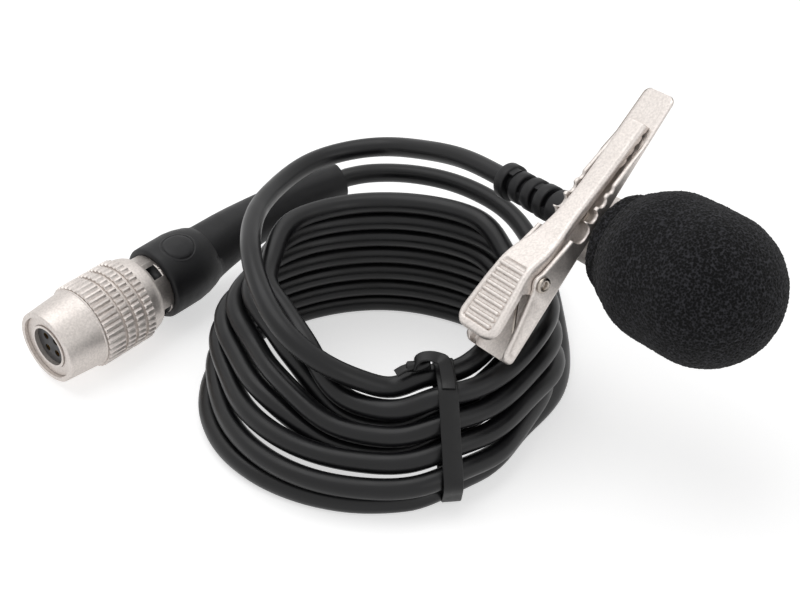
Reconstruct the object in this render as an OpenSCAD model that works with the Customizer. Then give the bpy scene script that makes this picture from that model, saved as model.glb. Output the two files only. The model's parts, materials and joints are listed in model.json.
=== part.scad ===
// Clip-on lavalier microphone with a foam windscreen, a coiled lead and a
// four-contact push-pull plug.  Millimetres, +Z up, origin on the surface
// that the coil lies on, at the middle of the coil's bottom turn.

/* [Microphone] */
// Outer diameter of the microphone barrel
barrel_d = 8; // [6:0.1:9]
// Length of the barrel tube without its end pieces
barrel_l = 21; // [18:0.5:24]
// Wall of the barrel tube
barrel_wall = 0.5; // [0.4:0.05:0.8]
// Length of the perforated front cap
grille_l = 2.2; // [1.6:0.1:3]
// Diameter of the sound holes in the front cap
grille_hole_d = 0.8; // [0.4:0.05:1]
// Length of the tapered rear cap
rear_cap_l = 3; // [2:0.1:4]
// Length of the electret capsule
capsule_l = 3.2; // [2:0.1:4]
// Thickness of the capsule's circuit board
board_t = 0.8; // [0.5:0.1:1.2]

/* [Windscreen] */
// Largest diameter of the foam windscreen
foam_d = 18.8; // [16:0.1:22]
// Diameter of the foam's neck, beside the clip
foam_neck_d = 13; // [11:0.1:15]
// Length of the foam's neck
foam_neck_l = 2.2; // [1.5:0.1:3]
// Length of the whole windscreen
foam_l = 23.5; // [21:0.1:26]
// Gap between the foam's bore and the barrel
foam_gap = 0.3; // [0.2:0.05:0.4]

/* [Clip] */
// Length of the rear jaw
jaw_l = 37.8; // [34:0.1:42]
// Width of the rear jaw at its tip
jaw_tip_w = 4.9; // [4.5:0.1:6]
// Width of the rear jaw at its grip
jaw_grip_w = 7.6; // [7:0.1:9]
// Thickness of the sheet steel
sheet = 0.6; // [0.5:0.05:0.7]
// Distance of the jaw's pin from the grip end
pin_from_grip = 10.2; // [9.5:0.1:11]
// Height of the jaw's pin above the back of the rear jaw
pin_h = 3.3; // [3:0.1:3.6]
// Diameter of the jaw's pin
pin_d = 1.2; // [1:0.1:1.4]
// Number of pressed ribs in the thumb pad
pad_ribs = 9; // [5:1:11]
// Diameter of the round cable notch in the rear jaw
notch_d = 2.7; // [2.2:0.1:3]
// Width of the band that holds the barrel
holder_w = 4.6; // [3:0.1:6]

/* [Cable] */
// Diameter of the cable
cable_d = 2.4; // [2:0.1:2.6]
// Length of the ribbed strain relief
relief_l = 9.6; // [9:0.1:11]
// Largest diameter of the strain relief
relief_d = 4.5; // [4:0.1:5]
// Number of collars on the strain relief
relief_collars = 4; // [3:1:5]
// Distance between neighbouring turns of the coil
turn_pitch = 3; // [2.95:0.01:3]
// Width of the flat tie
tie_w = 2.4; // [2:0.1:3]
// Thickness of the flat tie
tie_t = 0.4; // [0.3:0.05:0.5]

/* [Plug] */
// Outer diameter of the knurled coupling sleeve
knurl_d = 11.9; // [11.4:0.1:12.4]
// Outer diameter of the sleeve's smooth front barrel
sleeve_front_d = 10.4; // [10:0.1:10.8]
// Length of the coupling sleeve
sleeve_l = 16; // [14:0.1:17]
// How far the sleeve pulls back to unlock
sleeve_travel = 1.5; // [1:0.1:1.8]
// Outer diameter of the plug's inner shell
shell_d = 8.7; // [8.4:0.1:9]
// Diameter of the dark contact insert
insert_d = 5.4; // [5:0.1:5.8]
// Number of contacts
contact_count = 4; // [2:1:6]
// Bore of each contact
contact_bore_d = 0.6; // [0.5:0.05:0.7]
// Outer diameter of the rubber boot at its front edge
boot_d = 10.4; // [10:0.1:11]
// Length of the straight part of the boot
boot_l = 9; // [8:0.1:10]
// Diameter of the bare disc on the boot
boot_disc_d = 4.3; // [3:0.1:5]
// Outer diameter of the boot's tail where the cable leaves it
tail_end_d = 4.9; // [4.4:0.1:5.4]

/* [Hidden] */
$fn = 64;

fit = 0.05;                 // running clearance on a radius
soft_gap = 0.3;             // space left round soft pieces

// ---- places ---------------------------------------------------------------
// Middle of the clip on the barrel's axis; local x runs to the foam, y to the
// clip's tip and z to the front jaw.
mic_at = [28.1, 1.95, 25];
mic_turn = [42, -6, -53];
// Middle of the plug's front face; local x runs back to the boot.
plug_at = [-43, 3.2, knurl_d / 2 - 0.11];
plug_turn = [0, -1.5, 47];

// ---- microphone, measured along its own axis --------------------------------
barrel_r = barrel_d / 2;
barrel_in_r = barrel_r - barrel_wall;
barrel_x0 = -9;
barrel_x1 = barrel_x0 + barrel_l;
grille_x1 = barrel_x1 + grille_l;
rear_x0 = barrel_x0 - rear_cap_l;
relief_x0 = -18.6;
relief_x1 = relief_x0 + relief_l;
foam_x0 = 3.5;
foam_r = foam_d / 2;
foam_x1 = foam_x0 + foam_l;
foam_bore_x1 = grille_x1 + soft_gap;
gasket_t = 0.3;
grille_edge = 0.5;
capsule_r = barrel_in_r - gasket_t - fit;
capsule_x1 = barrel_x1 - 0.6;
capsule_x0 = capsule_x1 - capsule_l;
board_x1 = capsule_x0;
board_x0 = board_x1 - board_t;
lead_d = 0.6;
lead_ring_r = 0.55;
lead_hole_d = 2.4;

// ---- clip -------------------------------------------------------------------
web_z = barrel_r + 0.9;             // back of the rear jaw, from the barrel's axis
grip_y = -20.2;
tip_y = grip_y + jaw_l;
pin_y = grip_y + pin_from_grip;
pin_z = web_z + pin_h;
pin_r = pin_d / 2;
jaw_taper = (jaw_grip_w - jaw_tip_w) / jaw_l;
function rear_w(y) = jaw_grip_w - jaw_taper * (y - grip_y);
front_tip_y = tip_y - 4.6;
front_ear_w = rear_w(pin_y) - 2 * sheet - 0.3;
front_tip_w = 3.3;
front_waist_w = 3.2;
pad_w = jaw_grip_w - 0.6;
pad_neck_w = 5.9;
pad_end_y = grip_y + 1;
pad_h = 5.8;
pad_rim = 0.9;
holder_in_r = barrel_r + fit;
holder_out_r = web_z - 0.3;
rivet_r = 0.7;

// ---- cable ------------------------------------------------------------------
cable_r = cable_d / 2;
floor_h = cable_r - cable_d / 20;    // axis height of a turn that lies on the table
cord_sides = 8;
coil_sides = 6;
coil_rings = 24;                     // rings in each turn

// ---- plug, measured back from its front face ----------------------------------
shell_r = shell_d / 2;
sleeve_in_r = shell_r + fit;
sleeve_front_r = sleeve_front_d / 2;
knurl_r = knurl_d / 2;
insert_r = insert_d / 2;
shell_x0 = 0.5;
boot_x0 = sleeve_l + 2.2;
boot_x1 = boot_x0 + boot_l;
boot_r = boot_d / 2;
shell_x1 = boot_x0 + 5.6;
shell_in_r = shell_r - 0.9;
shield_r = insert_r + 0.4;
contact_r = contact_bore_d / 2 + 0.18;
contact_ring_r = 1.35;
insert_x0 = 0.9;
insert_x1 = 9;
contact_x1 = insert_x1 + 2;
clamp_r = shell_in_r - fit;
pocket_x0 = 5;
pocket_x1 = 9.4;
pocket_r = shell_r + 0.85;
spring_wire_d = 0.4;

// ---- helpers ------------------------------------------------------------------
module in_mic() { translate(mic_at) rotate(mic_turn) children(); }
module in_plug() { translate(plug_at) rotate(plug_turn) children(); }
module along_x() { rotate([0, 90, 0]) children(); }

// Straight round bar or ring along x.
module bar(x0, x1, r) { translate([x0, 0, 0]) along_x() cylinder(h = x1 - x0, r = r); }
module ring(x0, x1, r_out, r_in) {
    translate([x0, 0, 0]) along_x() difference() {
        cylinder(h = x1 - x0, r = r_out);
        translate([0, 0, -1]) cylinder(h = x1 - x0 + 2, r = r_in);
    }
}
// Turned piece along x from a profile of [x, radius] points.
module turned(profile) {
    along_x() rotate_extrude() polygon([for (p = profile) [p[1], p[0]]]);
}
// Prism whose outline lies in the clip's side view: points are [y, height over the web].
module side_cut(outline, w) {
    translate([-w / 2, 0, web_z]) rotate([90, 0, 90]) linear_extrude(height = w) polygon(outline);
}
// Prism whose outline lies in the clip's plan view: points are [half width, y].
module plan_cut(half, z0, z1) {
    n = len(half);
    outline = concat(half, [for (i = [n - 1:-1:0]) [-half[i][0], half[i][1]]]);
    translate([0, 0, web_z + z0]) linear_extrude(height = z1 - z0) polygon(outline);
}
// Points of an arc.
function arc(c, r, a0, a1, steps) =
    [for (i = [0:steps]) let (a = a0 + (a1 - a0) * i / steps) [c[0] + r * cos(a), c[1] + r * sin(a)]];

function unit(v) = v / norm(v);
function lerp(a, b, t) = a + (b - a) * t;
function ease(t) = t <= 0 ? 0 : t >= 1 ? 1 : t * t * (3 - 2 * t);

// Smooth curve through hand-chosen points.
function spline_at(p, i, t) =
    let (a = p[max(i - 1, 0)], b = p[i], c = p[i + 1], d = p[min(i + 2, len(p) - 1)])
    0.5 * (2 * b + (c - a) * t + (2 * a - 5 * b + 4 * c - d) * t * t + (3 * b - 3 * c + d - a) * t * t * t);
function spline(p, steps) =
    concat([for (i = [0:len(p) - 2]) for (k = [0:steps - 1]) spline_at(p, i, k / steps)], [p[len(p) - 1]]);

function tangent(p, i) = unit(p[min(i + 1, len(p) - 1)] - p[max(i - 1, 0)]);

// Closed tube of triangles round a path; radii has one radius for each point.
module swept(path, radii, sides) {
    n = len(path);
    points = [for (i = [0:n - 1])
        let (t = tangent(path, i), s = unit(cross([0, 0, 1], t)), u = cross(t, s))
        for (k = [0:sides - 1])
            let (a = (k + 0.5) * 360 / sides) path[i] + radii[i] * (cos(a) * s + sin(a) * u)];
    wall = [for (i = [0:n - 2]) for (k = [0:sides - 1])
        let (a = i * sides + k, b = i * sides + (k + 1) % sides)
        each [[a, a + sides, b], [b, a + sides, b + sides]]];
    first = [for (k = [1:sides - 2]) [0, k, k + 1]];
    last = [for (k = [1:sides - 2]) let (o = (n - 1) * sides) [o, o + k + 1, o + k]];
    polyhedron(points = points, faces = concat(wall, first, last));
}
module tube(path, r, sides) { swept(path, [for (p = path) r], sides); }

// Flat ribbon round a path of [point, direction of its width] pairs.
module ribbon(stations, w, t) {
    n = len(stations);
    at = [for (s = stations) s[0]];
    points = [for (i = [0:n - 1])
        let (f = tangent(at, i), a = unit(stations[i][1] - f * (stations[i][1] * f)), b = cross(f, a))
        each [at[i] - a * w / 2 - b * t / 2, at[i] + a * w / 2 - b * t / 2,
              at[i] + a * w / 2 + b * t / 2, at[i] - a * w / 2 + b * t / 2]];
    wall = [for (i = [0:n - 2]) for (k = [0:3])
        let (a = i * 4 + k, b = i * 4 + (k + 1) % 4) each [[a, a + 4, b], [b, a + 4, b + 4]]];
    o = (n - 1) * 4;
    polyhedron(points = points,
        faces = concat(wall, [[0, 1, 2], [0, 2, 3]], [[o, o + 2, o + 1], [o, o + 3, o + 2]]));
}

// ---- coil ---------------------------------------------------------------------
// The bottom turn is an oval on the table.  At each angle the other turns are
// stacked on it in a chain.  A row of `stack` holds the angle, the stack's lean
// inwards, the place of its foot inside the oval, how far each step of the chain
// turns from the lean, and how many pitches long each step is.
oval_at = [0.8, -1.1];
oval = [22.6, 20.4];
even = [1, 1, 1, 1, 1, 1, 1];
merge_lean = 6;
merge_turn = 32;
merge_zigzag = merge_turn * [1, -1, 1, -1, 1, -1, 1];
stack = [
    [32, merge_lean, turn_pitch * sin(merge_lean + merge_turn), -merge_zigzag, even],
    [56, 4, 0.4, [0, 0, 0, 0, 0, 0, 0], even],
    [95, 5, -0.4, [0, 0, 0, 0, 0, 0, 0], 0.98 * even],
    [122, 5, -0.4, [0, 0, 0, 0, 5, 10, 0], even],
    [155, 8, -0.4, [-8, -8, 5, 25, 38, 40, 0], even],
    [192, 32, 0, [0, 0, 0, 10, 30, -5, 0], [1, 1, 1, 1, 1.04, 1.08, 1.08]],
    [258, 53, 0.2, [-60, 0, 58, -58, 58, -58, -8], [1, 1.08, 1.08, 1.08, 1.06, 1.08, 1.08]],
    [280, 48, 0.6, [-66, 2, 60, -60, 60, -60, 16], [1, 1, 1.03, 1.03, 1, 1.04, 1.12]],
    [306, 22, 2.6, [-48, 2, 60, -60, 60, -60, 66], [1, 1, 1.03, 1.03, 1.03, 1.06, 1.22]],
    [334, 8, 4, [-30, -6, 58, -58, 58, -58, 76], [1, 1, 1.02, 1.02, 1.02, 1.02, 1.35]],
    [362, 8, 1.2, [0, -35, 50, -48, 48, -48, 60], [1, 1, 1.04, 1.08, 1.08, 1.08, 1.2]],
    [392, merge_lean, 0, merge_zigzag, even]];
drop_from = 362;
drop_to = 392;
tie_angle = 294;                     // where the tie lifts the bundle off the table
tie_lift = tie_t + soft_gap + 0.15;

function row_at(a) = [for (i = [0:len(stack) - 2]) if (a >= stack[i][0]) i];
function stack_at(a) =
    let (rows = row_at(a), i = rows[len(rows) - 1], lo = stack[i], hi = stack[i + 1],
         t = ease((a - lo[0]) / (hi[0] - lo[0])))
    [lerp(lo[1], hi[1], t), lerp(lo[2], hi[2], t), lerp(lo[3], hi[3], t), lerp(lo[4], hi[4], t)];
function lift_at(a) = tie_lift * exp(-pow((a - tie_angle) / 9, 2));
// Steps of the chain at an angle, each [inwards, up].
function chain_step(s, j) = turn_pitch * s[3][j] * [sin(s[0] + s[2][j]), cos(s[0] + s[2][j])];
function chain_sum(s, k, to) = to <= 0 ? [0, 0] : k[to - 1] * chain_step(s, to - 1) + chain_sum(s, k, to - 1);
function place(a, inwards, up) =
    let (out = unit([cos(a) * oval[1], sin(a) * oval[0]]))
    [oval_at[0] + oval[0] * cos(a) - out[0] * inwards,
     oval_at[1] + oval[1] * sin(a) - out[1] * inwards, floor_h + up];
// Turn j of the stack at an angle of the table; k stretches the chain's steps.
function stack_point(j, a, k) =
    let (s = stack_at(a), drop = ease((a - drop_from) / (drop_to - drop_from)),
         c = chain_sum(s, k, j), foot = k[0] * chain_step(s, 0)[1] * drop)
    place(a, s[1] + c[0], c[1] - (j > 0 ? foot : 0) + lift_at(a));
// The same at any angle: past the table's ends a turn goes on under its next number.
function any_point(j, a) =
    a < stack[0][0] ? stack_point(min(j + 1, 7), j < 7 ? a + 360 : stack[0][0] + 360, even) :
    a > stack[0][0] + 360 ? stack_point(max(j - 1, 0), a - 360, even) : stack_point(j, a, even);
// A step is stretched where its turns run steeply, so that the clear gap stays.
function slant(j, a) =
    let (t = any_point(j, a + 5) - any_point(j, a - 5), d = any_point(j + 1, a) - any_point(j, a))
    min(1.35, norm(t) * norm(d) / norm(cross(t, d)));
function turn_point(j, a) = stack_point(j, a, [for (i = [0:6]) slant(i, a)]);
// The whole winding: coil_start is the angle of its start, on the top turn beside the tie.
coil_start = 284;
coil_end = 356;
coil_total = 7 * 360 + coil_end - coil_start;
function coil_point(w) =
    let (a = coil_start + w, turn = floor((a - stack[0][0]) / 360))
    turn_point(7 - turn, a - 360 * turn);
coil_steps = round(coil_total / 360 * coil_rings);
coil_path = [for (i = [0:coil_steps]) coil_point(coil_total * i / coil_steps)];

// Least clear distance between two turns, from points at the rings and midway.
coil_fine = [for (i = [0:coil_steps - 1]) each [coil_path[i], (coil_path[i] + coil_path[i + 1]) / 2]];
near = coil_rings;                   // points this close along the cable are one turn
least_gap = min([for (i = [0:len(coil_fine) - 1]) for (j = [i + near:1:len(coil_fine) - 1])
    norm(coil_fine[i] - coil_fine[j])]) - cable_d;
echo(least_gap = least_gap);

// ---- free stretches of the cable --------------------------------------------------
// Straight ends one cable diameter long, a smooth curve through hand-chosen points between.
function stretch(from, from_dir, route, to, to_dir) =
    concat([from], spline(concat([from + cable_d * from_dir], route, [to - cable_d * to_dir]), 2), [to]);
mic_axis = [cos(mic_turn[1]) * cos(mic_turn[2]), cos(mic_turn[1]) * sin(mic_turn[2]), -sin(mic_turn[1])];
relief_end = mic_at + relief_x0 * mic_axis;
mic_end_route = [[12.5, 22.1, 22.5], [9.6, 25.1, 21.7], [5.4, 28.5, 20.4], [0.9, 31.4, 19],
    [-3.9, 31.2, 18.5], [-9.3, 28.3, 18.4], [-13.7, 21.2, 18.8], [-15.9, 12.6, 20.1], [-15.7, 3.4, 20.5],
    [-13.7, -4, 19.5], [-11.1, -8.8, 18], [-7.4, -11.5, 16], [-3.9, -12.3, 14.1], [-0.8, -12.2, 12.7]];
mic_end_path = stretch(relief_end, -mic_axis, mic_end_route, coil_path[0], unit(coil_path[1] - coil_path[0]));

plug_axis = [cos(plug_turn[1]) * cos(plug_turn[2]), cos(plug_turn[1]) * sin(plug_turn[2]), -sin(plug_turn[1])];
boot_end = plug_at + boot_x1 * plug_axis;
tail_route = [[-20.5, 26.6, 7.6], [-15.8, 30.3, 8.5], [-10.8, 33.7, 9.4]];
tail_end = [-5.6, 36.6, 10];
tail_dir = unit(tail_end - tail_route[2]);
tail_path = concat([boot_end], spline(concat([boot_end + plug_axis], tail_route, [tail_end - tail_dir]), 3),
    [tail_end]);
plug_end_route = [[24, 3.4, 1.1], [24.4, 7, 1.2], [24.4, 10.6, 1.5], [24.1, 14.6, 2.2], [23.5, 19.6, 3.5],
    [22.2, 25.6, 5.2], [19.2, 31.6, 7.2], [14.8, 35.4, 8.4], [9.4, 38, 9.2], [3, 38.9, 9.8]];
plug_end_path = stretch(coil_path[coil_steps], unit(coil_path[coil_steps] - coil_path[coil_steps - 1]),
    plug_end_route, tail_end, -tail_dir);

// ---- tie ------------------------------------------------------------------------------
// The band lies in an upright plane through tie_at; its outline holds every strand
// that crosses the band's width.
tie_at = [8.9, -17, 0];
tie_turn = 276;
tie_out = [cos(tie_turn), sin(tie_turn), 0];
tie_side = [-sin(tie_turn), cos(tie_turn), 0];
tie_marks = [for (j = [0:7]) for (a = [276:2:344]) let (p = turn_point(j, a) - tie_at)
    if (abs(p * tie_side) < tie_w / 2 + 0.4) [p * tie_out, p[2]]];
band_sides = 36;
function band(r) = [for (i = [0:band_sides - 1])
    let (d = [cos(i * 360 / band_sides), sin(i * 360 / band_sides)], far = max([for (m = tie_marks) m * d]))
    [for (m = tie_marks) if (m * d > far - 0.0001) m + r * d][0]];
// Ribbon of the knot, as [point, direction of its width].
knot_loop = [[[8.7, -13.9, 15.6], [1, 0, 0]], [[8.5, -13.1, 16], [1, 0.3, 0]], [[8.2, -12.4, 16.3], [0.7, 0.7, 0.2]],
    [[7.6, -12, 16.4], [0.3, 1, 0.2]], [[6.7, -11.9, 16.6], [0, 1, 0.1]], [[5.7, -11.9, 16.5], [-0.1, 1, 0]],
    [[5, -12, 16], [-0.1, 1, 0]], [[4.8, -12, 15.2], [0, 1, 0]]];
knot_roll = [[3.8, -11.9, 14.9], [5.2, -12, 15.2], [6.7, -11.9, 15.4]];
knot_tail = [[[4.2, -12, 15.1], [0, 1, 0]], [[3.3, -12.2, 14.8], [0, 1, 0.2]], [[2.5, -12.5, 14.4], [0, 1, 0.3]]];
knot_w = 1.7;
knot_roll_r = 0.75;

module windscreen() {
    color("#1d1d1f") in_mic() difference() {
        turned(concat([[foam_x0, 0], [foam_x0, foam_neck_d / 2 - 0.4],
            [foam_x0 + 0.4, foam_neck_d / 2], [foam_x0 + foam_neck_l, foam_neck_d / 2],
            [foam_x0 + foam_neck_l + 0.5, foam_r - 1.9]],
            [for (i = [0:4]) let (t = i / 4) [foam_x0 + foam_neck_l + 1.4 + 5 * t, foam_r - 1.5 * pow(1 - t, 2)]],
            [for (p = arc([foam_x1 - foam_r, 0], foam_r, 90, 0, 14)) p]));
        bar(foam_x0 - 1, foam_bore_x1, barrel_r + foam_gap);
    }
}

module mic_barrel() {
    color("#26262a") in_mic() ring(barrel_x0, barrel_x1, barrel_r, barrel_in_r);
}

module mic_grille() {
    color("#303034") in_mic() difference() {
        turned([[barrel_x1, 0], [barrel_x1, barrel_r], [grille_x1 - grille_edge, barrel_r],
            [grille_x1, barrel_r - grille_edge], [grille_x1, 0]]);
        bar(barrel_x1 - 1, grille_x1 - 0.8, barrel_in_r);
        for (i = [0:5]) rotate([i * 60, 0, 0]) translate([0, 0, barrel_in_r * 0.6])
            bar(barrel_x1, grille_x1 + 1, grille_hole_d / 2);
        bar(barrel_x1, grille_x1 + 1, grille_hole_d / 2);
    }
}

module mic_rear_cap() {
    color("#1b1b1d") in_mic() difference() {
        turned([[rear_x0, 0], [rear_x0, relief_d / 2 + 0.5], [barrel_x0 - 0.8, barrel_r],
            [barrel_x0, barrel_r], [barrel_x0, barrel_in_r - fit], [barrel_x0 + 1.6, barrel_in_r - fit],
            [barrel_x0 + 1.6, 0]]);
        bar(rear_x0 - 1, relief_x1, relief_d / 2 - 0.3);
        bar(rear_x0 - 1, barrel_x0 + 3, lead_hole_d / 2);
    }
}

module mic_capsule() {
    color("silver") in_mic() difference() {
        bar(capsule_x0, capsule_x1, capsule_r);
        bar(capsule_x1 - 0.4, capsule_x1 + 1, 1);
    }
}

module capsule_gasket() {
    color("#101012") in_mic() ring(capsule_x0 + 0.6, capsule_x1 - 0.4, barrel_in_r, capsule_r);
}

module capsule_board() {
    color("darkgreen") in_mic() {
        bar(board_x0, board_x1, barrel_in_r - 2 * fit);
        for (i = [0:2]) rotate([i * 120, 0, 0]) translate([0, 0, barrel_in_r * 0.6])
            bar(board_x0 - 0.4, board_x0 + 0.1, 0.35);
    }
}

// Three insulated wires from the board back into the cable.
module mic_leads() {
    color("firebrick") in_mic() for (i = [0:2]) rotate([i * 120 + 60, 0, 0])
        translate([0, 0, lead_ring_r]) bar(relief_x0 + 1, board_x0, lead_d / 2);
}

module strain_relief() {
    collar_pitch = (rear_x0 - relief_x0) / relief_collars;
    color("#18181a") in_mic() difference() {
        union() {
            bar(relief_x0, relief_x1, cable_r + 0.15);
            bar(rear_x0, relief_x1, relief_d / 2 - 0.3);
            for (i = [0:relief_collars - 1]) let (x = relief_x0 + i * collar_pitch)
                bar(x, x + collar_pitch * 0.62, relief_d / 2 - 0.1 * (relief_collars - i));
        }
        bar(relief_x0 + 1, relief_x1 + 1, lead_ring_r + lead_d / 2 + fit);
    }
}

module mic_holder() {
    color("#c9c1b8") in_mic() difference() {
        union() {
            bar(-holder_w / 2, holder_w / 2, holder_out_r);
            translate([-holder_w / 2, -2.2, 0]) cube([holder_w, 4.4, web_z]);
        }
        bar(-holder_w, holder_w, holder_in_r);
        translate([0, 0, barrel_r]) cylinder(h = 4, r = rivet_r + fit);
    }
}

module holder_rivet() {
    color("#b5ada4") in_mic() {
        translate([0, 0, holder_in_r + 0.1]) cylinder(h = web_z - holder_in_r + sheet, r = rivet_r);
        translate([0, 0, web_z + sheet]) cylinder(h = 0.45, r = rivet_r * 1.7);
    }
}

// Rear jaw: a channel of sheet steel, its web against the holder.
module clip_rear_jaw() {
    side = concat(
        [[grip_y, 0], [grip_y, 1], [grip_y + 0.5, 1.9], [pin_y - 2.4, pin_h + 0.35]],
        arc([pin_y, pin_h], 1.25, 150, 40, 6),
        [[-4.2, 2.9], [8, 1.1], [11, sheet], [tip_y, sheet], [tip_y, 0]]);
    plan = concat([[jaw_grip_w / 2 - 0.8, grip_y], [jaw_grip_w / 2, grip_y + 0.8]],
        arc([jaw_tip_w / 2 - 1, tip_y - 1], 1, 0, 90, 5));
    channel = [[jaw_grip_w / 2 - sheet, grip_y - 1], [jaw_grip_w / 2 - sheet, grip_y],
        [jaw_tip_w / 2 - sheet, tip_y - 2.6], [jaw_tip_w / 2 - sheet, tip_y - 2.5]];
    scallops = [[-2.3, notch_d], [0.1, 1.7], [2.2, 1.5], [4.1, 1.4], [5.9, 1.2]];
    color("#cdc5bb") in_mic() difference() {
        intersection() {
            side_cut(side, 12);
            plan_cut(plan, -1, 8);
        }
        plan_cut(channel, sheet, 9);
        translate([0, pin_y, pin_z]) bar(-6, 6, pin_r + fit);
        for (s = scallops) translate([0, s[0], web_z + sheet + 1.1 + s[1] / 4]) bar(-6, 6, s[1] / 2);
        translate([0, 0, web_z - 1]) cylinder(h = 3, r = rivet_r + fit);
    }
}

// Front jaw: the pressing lever with its ribbed pad, folded over at the sides.
module clip_front_jaw() {
    top = [[front_tip_y, 1.75], [3, 2.4], [-2, 3.1], [-5, 3.7], [-7.6, 4.9], [-9, 5.6], [-10.4, pad_h],
        [pad_end_y, pad_h]];
    under = [[pad_end_y, pad_h - pad_rim], [pin_y - 2.2, pad_h - pad_rim], [pin_y - 1.6, 2.6],
        [pin_y - 0.9, 1.9], [pin_y + 1.2, 1.9], [pin_y + 2.6, 2.4], [-4.4, 2.7], [0, 1.7],
        [front_tip_y - 6, 1.1], [front_tip_y - 5.4, sheet + 0.1], [front_tip_y, sheet + 0.1]];
    roof = [for (p = top) [p[0], p[1] - sheet]];
    plan = concat([[front_tip_w / 2, front_tip_y], [front_waist_w / 2, 2], [front_waist_w / 2 + 0.1, -1.6],
        [2.2, -4.8], [front_ear_w / 2, -7], [front_ear_w / 2, pin_y - 1.7], [pad_neck_w / 2, pin_y - 1.9]],
        arc([pad_w / 2 - 2, pad_end_y + 2], 2, 0, -90, 6));
    hollow = [[front_tip_w / 2 - sheet, front_tip_y - sheet], [front_waist_w / 2 - sheet, 2],
        [front_waist_w / 2 + 0.1 - sheet, -1.6], [2.2 - sheet, -4.8], [front_ear_w / 2 - sheet, -7],
        [front_ear_w / 2 - sheet, pin_y - 1.7], [pad_neck_w / 2 - sheet, pin_y - 1.9],
        [pad_w / 2 - sheet, pad_end_y + 2.2], [pad_w / 2 - 1.9, pad_end_y + sheet]];
    rib_pitch = 8.4 / pad_ribs;
    color("#cdc5bb") in_mic() difference() {
        union() {
            difference() {
                intersection() {
                    side_cut(concat(top, under), 12);
                    plan_cut(plan, -1, 9);
                }
                intersection() {
                    side_cut(concat([[front_tip_y, -2]], roof, [[pad_end_y, -2]]), 12);
                    plan_cut(hollow, -2, 9);
                }
                translate([0, pad_end_y + 1, web_z + pad_h - 0.25])
                    translate([-pad_w / 2 + 0.9, 0, 0]) cube([pad_w - 1.8, 8.8, 1]);
            }
            for (i = [0:pad_ribs - 1]) translate([0, pad_end_y + 1.5 + i * rib_pitch, web_z + pad_h - 0.25])
                intersection() {
                    bar(-pad_w / 2 + 1.2, pad_w / 2 - 1.2, rib_pitch * 0.3);
                    translate([-5, -1, -0.1]) cube([10, 2, 2]);
                }
        }
        translate([0, pin_y, pin_z]) bar(-6, 6, pin_r + fit);
        for (i = [0:2]) translate([0, front_tip_y - 1.2 - 1.6 * i, web_z + sheet]) bar(-6, 6, 0.55);
    }
}

module clip_pin() {
    half = rear_w(pin_y) / 2;
    color("#a79f96") in_mic() translate([0, pin_y, pin_z]) {
        bar(-half - 0.1, half + 0.1, pin_r);
        bar(-half - 0.45, -half - 0.1, pin_r * 1.6);
        bar(half + 0.1, half + 0.45, pin_r * 1.6);
    }
}

// Torsion spring round the pin, with a leg against each jaw.
spring_r = 1.05;
spring_wire_r = 0.2;
spring_curls = 4;
spring_leg = 6.6;
module clip_spring() {
    w = front_ear_w - 2 * sheet - 0.8;
    curl = [for (i = [0:spring_curls * 8]) let (a = 90 + i * 45)
        [-w / 2 + w * i / (spring_curls * 8), pin_y + spring_r * cos(a), pin_z + spring_r * sin(a)]];
    color("#8f8b86") in_mic() {
        spring_tube(concat(
            [[-w / 2, pin_y - spring_leg, web_z + pad_h - sheet - 0.35], [-w / 2, pin_y - spring_leg / 2, pin_z + 1.5]],
            curl,
            [[w / 2, pin_y - spring_leg / 2, pin_z + 0.1], [w / 2, pin_y - spring_leg, web_z + sheet + 0.35]]),
            spring_wire_r);
    }
}
// Wire whose frame follows the x axis, for springs wound along x.
module spring_tube(path, r) {
    n = len(path);
    sides = 6;
    points = [for (i = [0:n - 1])
        let (t = tangent(path, i), s = unit(cross([1, 0, 0], t)), u = cross(t, s))
        for (k = [0:sides - 1]) let (a = k * 360 / sides) path[i] + r * (cos(a) * s + sin(a) * u)];
    wall = [for (i = [0:n - 2]) for (k = [0:sides - 1])
        let (a = i * sides + k, b = i * sides + (k + 1) % sides)
        each [[a, a + sides, b], [b, a + sides, b + sides]]];
    first = [for (k = [1:sides - 2]) [0, k, k + 1]];
    last = [for (k = [1:sides - 2]) let (o = (n - 1) * sides) [o, o + k + 1, o + k]];
    polyhedron(points = points, faces = concat(wall, first, last));
}

module cord_mic_end() {
    color("#1c1c1e") tube(mic_end_path, cable_r, cord_sides);
}
module cord_coil() {
    color("#1c1c1e") tube(coil_path, cable_r, coil_sides);
}
module cord_plug_end() {
    color("#1c1c1e") tube(plug_end_path, cable_r, cord_sides);
}

module tie_strap() {
    color("#141416") translate(tie_at) rotate([90, 0, tie_turn]) translate([0, 0, -tie_w / 2])
        linear_extrude(height = tie_w) difference() {
            polygon(band(cable_r + soft_gap + tie_t));
            polygon(band(cable_r + soft_gap));
        }
}
module tie_knot() {
    color("#141416") {
        ribbon(knot_loop, knot_w, tie_t);
        tube(knot_roll, knot_roll_r, cord_sides);
        ribbon(knot_tail, knot_w * 0.7, tie_t);
    }
}

module boot_tail() {
    n = len(tail_path) - 1;
    color("#171719") swept(tail_path, [for (i = [0:n]) lerp(boot_r - 1.2, tail_end_d / 2, pow(i / n, 0.7))], 12);
}

module connector_boot() {
    color("#171719") in_plug() difference() {
        turned([[boot_x0, 0], [boot_x0, boot_r - 0.3], [boot_x0 + 0.3, boot_r], [boot_x0 + 5, boot_r],
            [boot_x1 - 1, boot_r - 0.5], [boot_x1, boot_r - 1.2], [boot_x1, 0]]);
        bar(boot_x0 - 1, shell_x1 + 0.2, shell_r - 0.2 + fit);
    }
}

module boot_disc() {
    color("#2a2a2d") in_plug() rotate([16, 0, 0]) translate([boot_x0 + 4, 0, boot_r])
        cylinder(h = 0.3, d = boot_disc_d);
}

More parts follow.
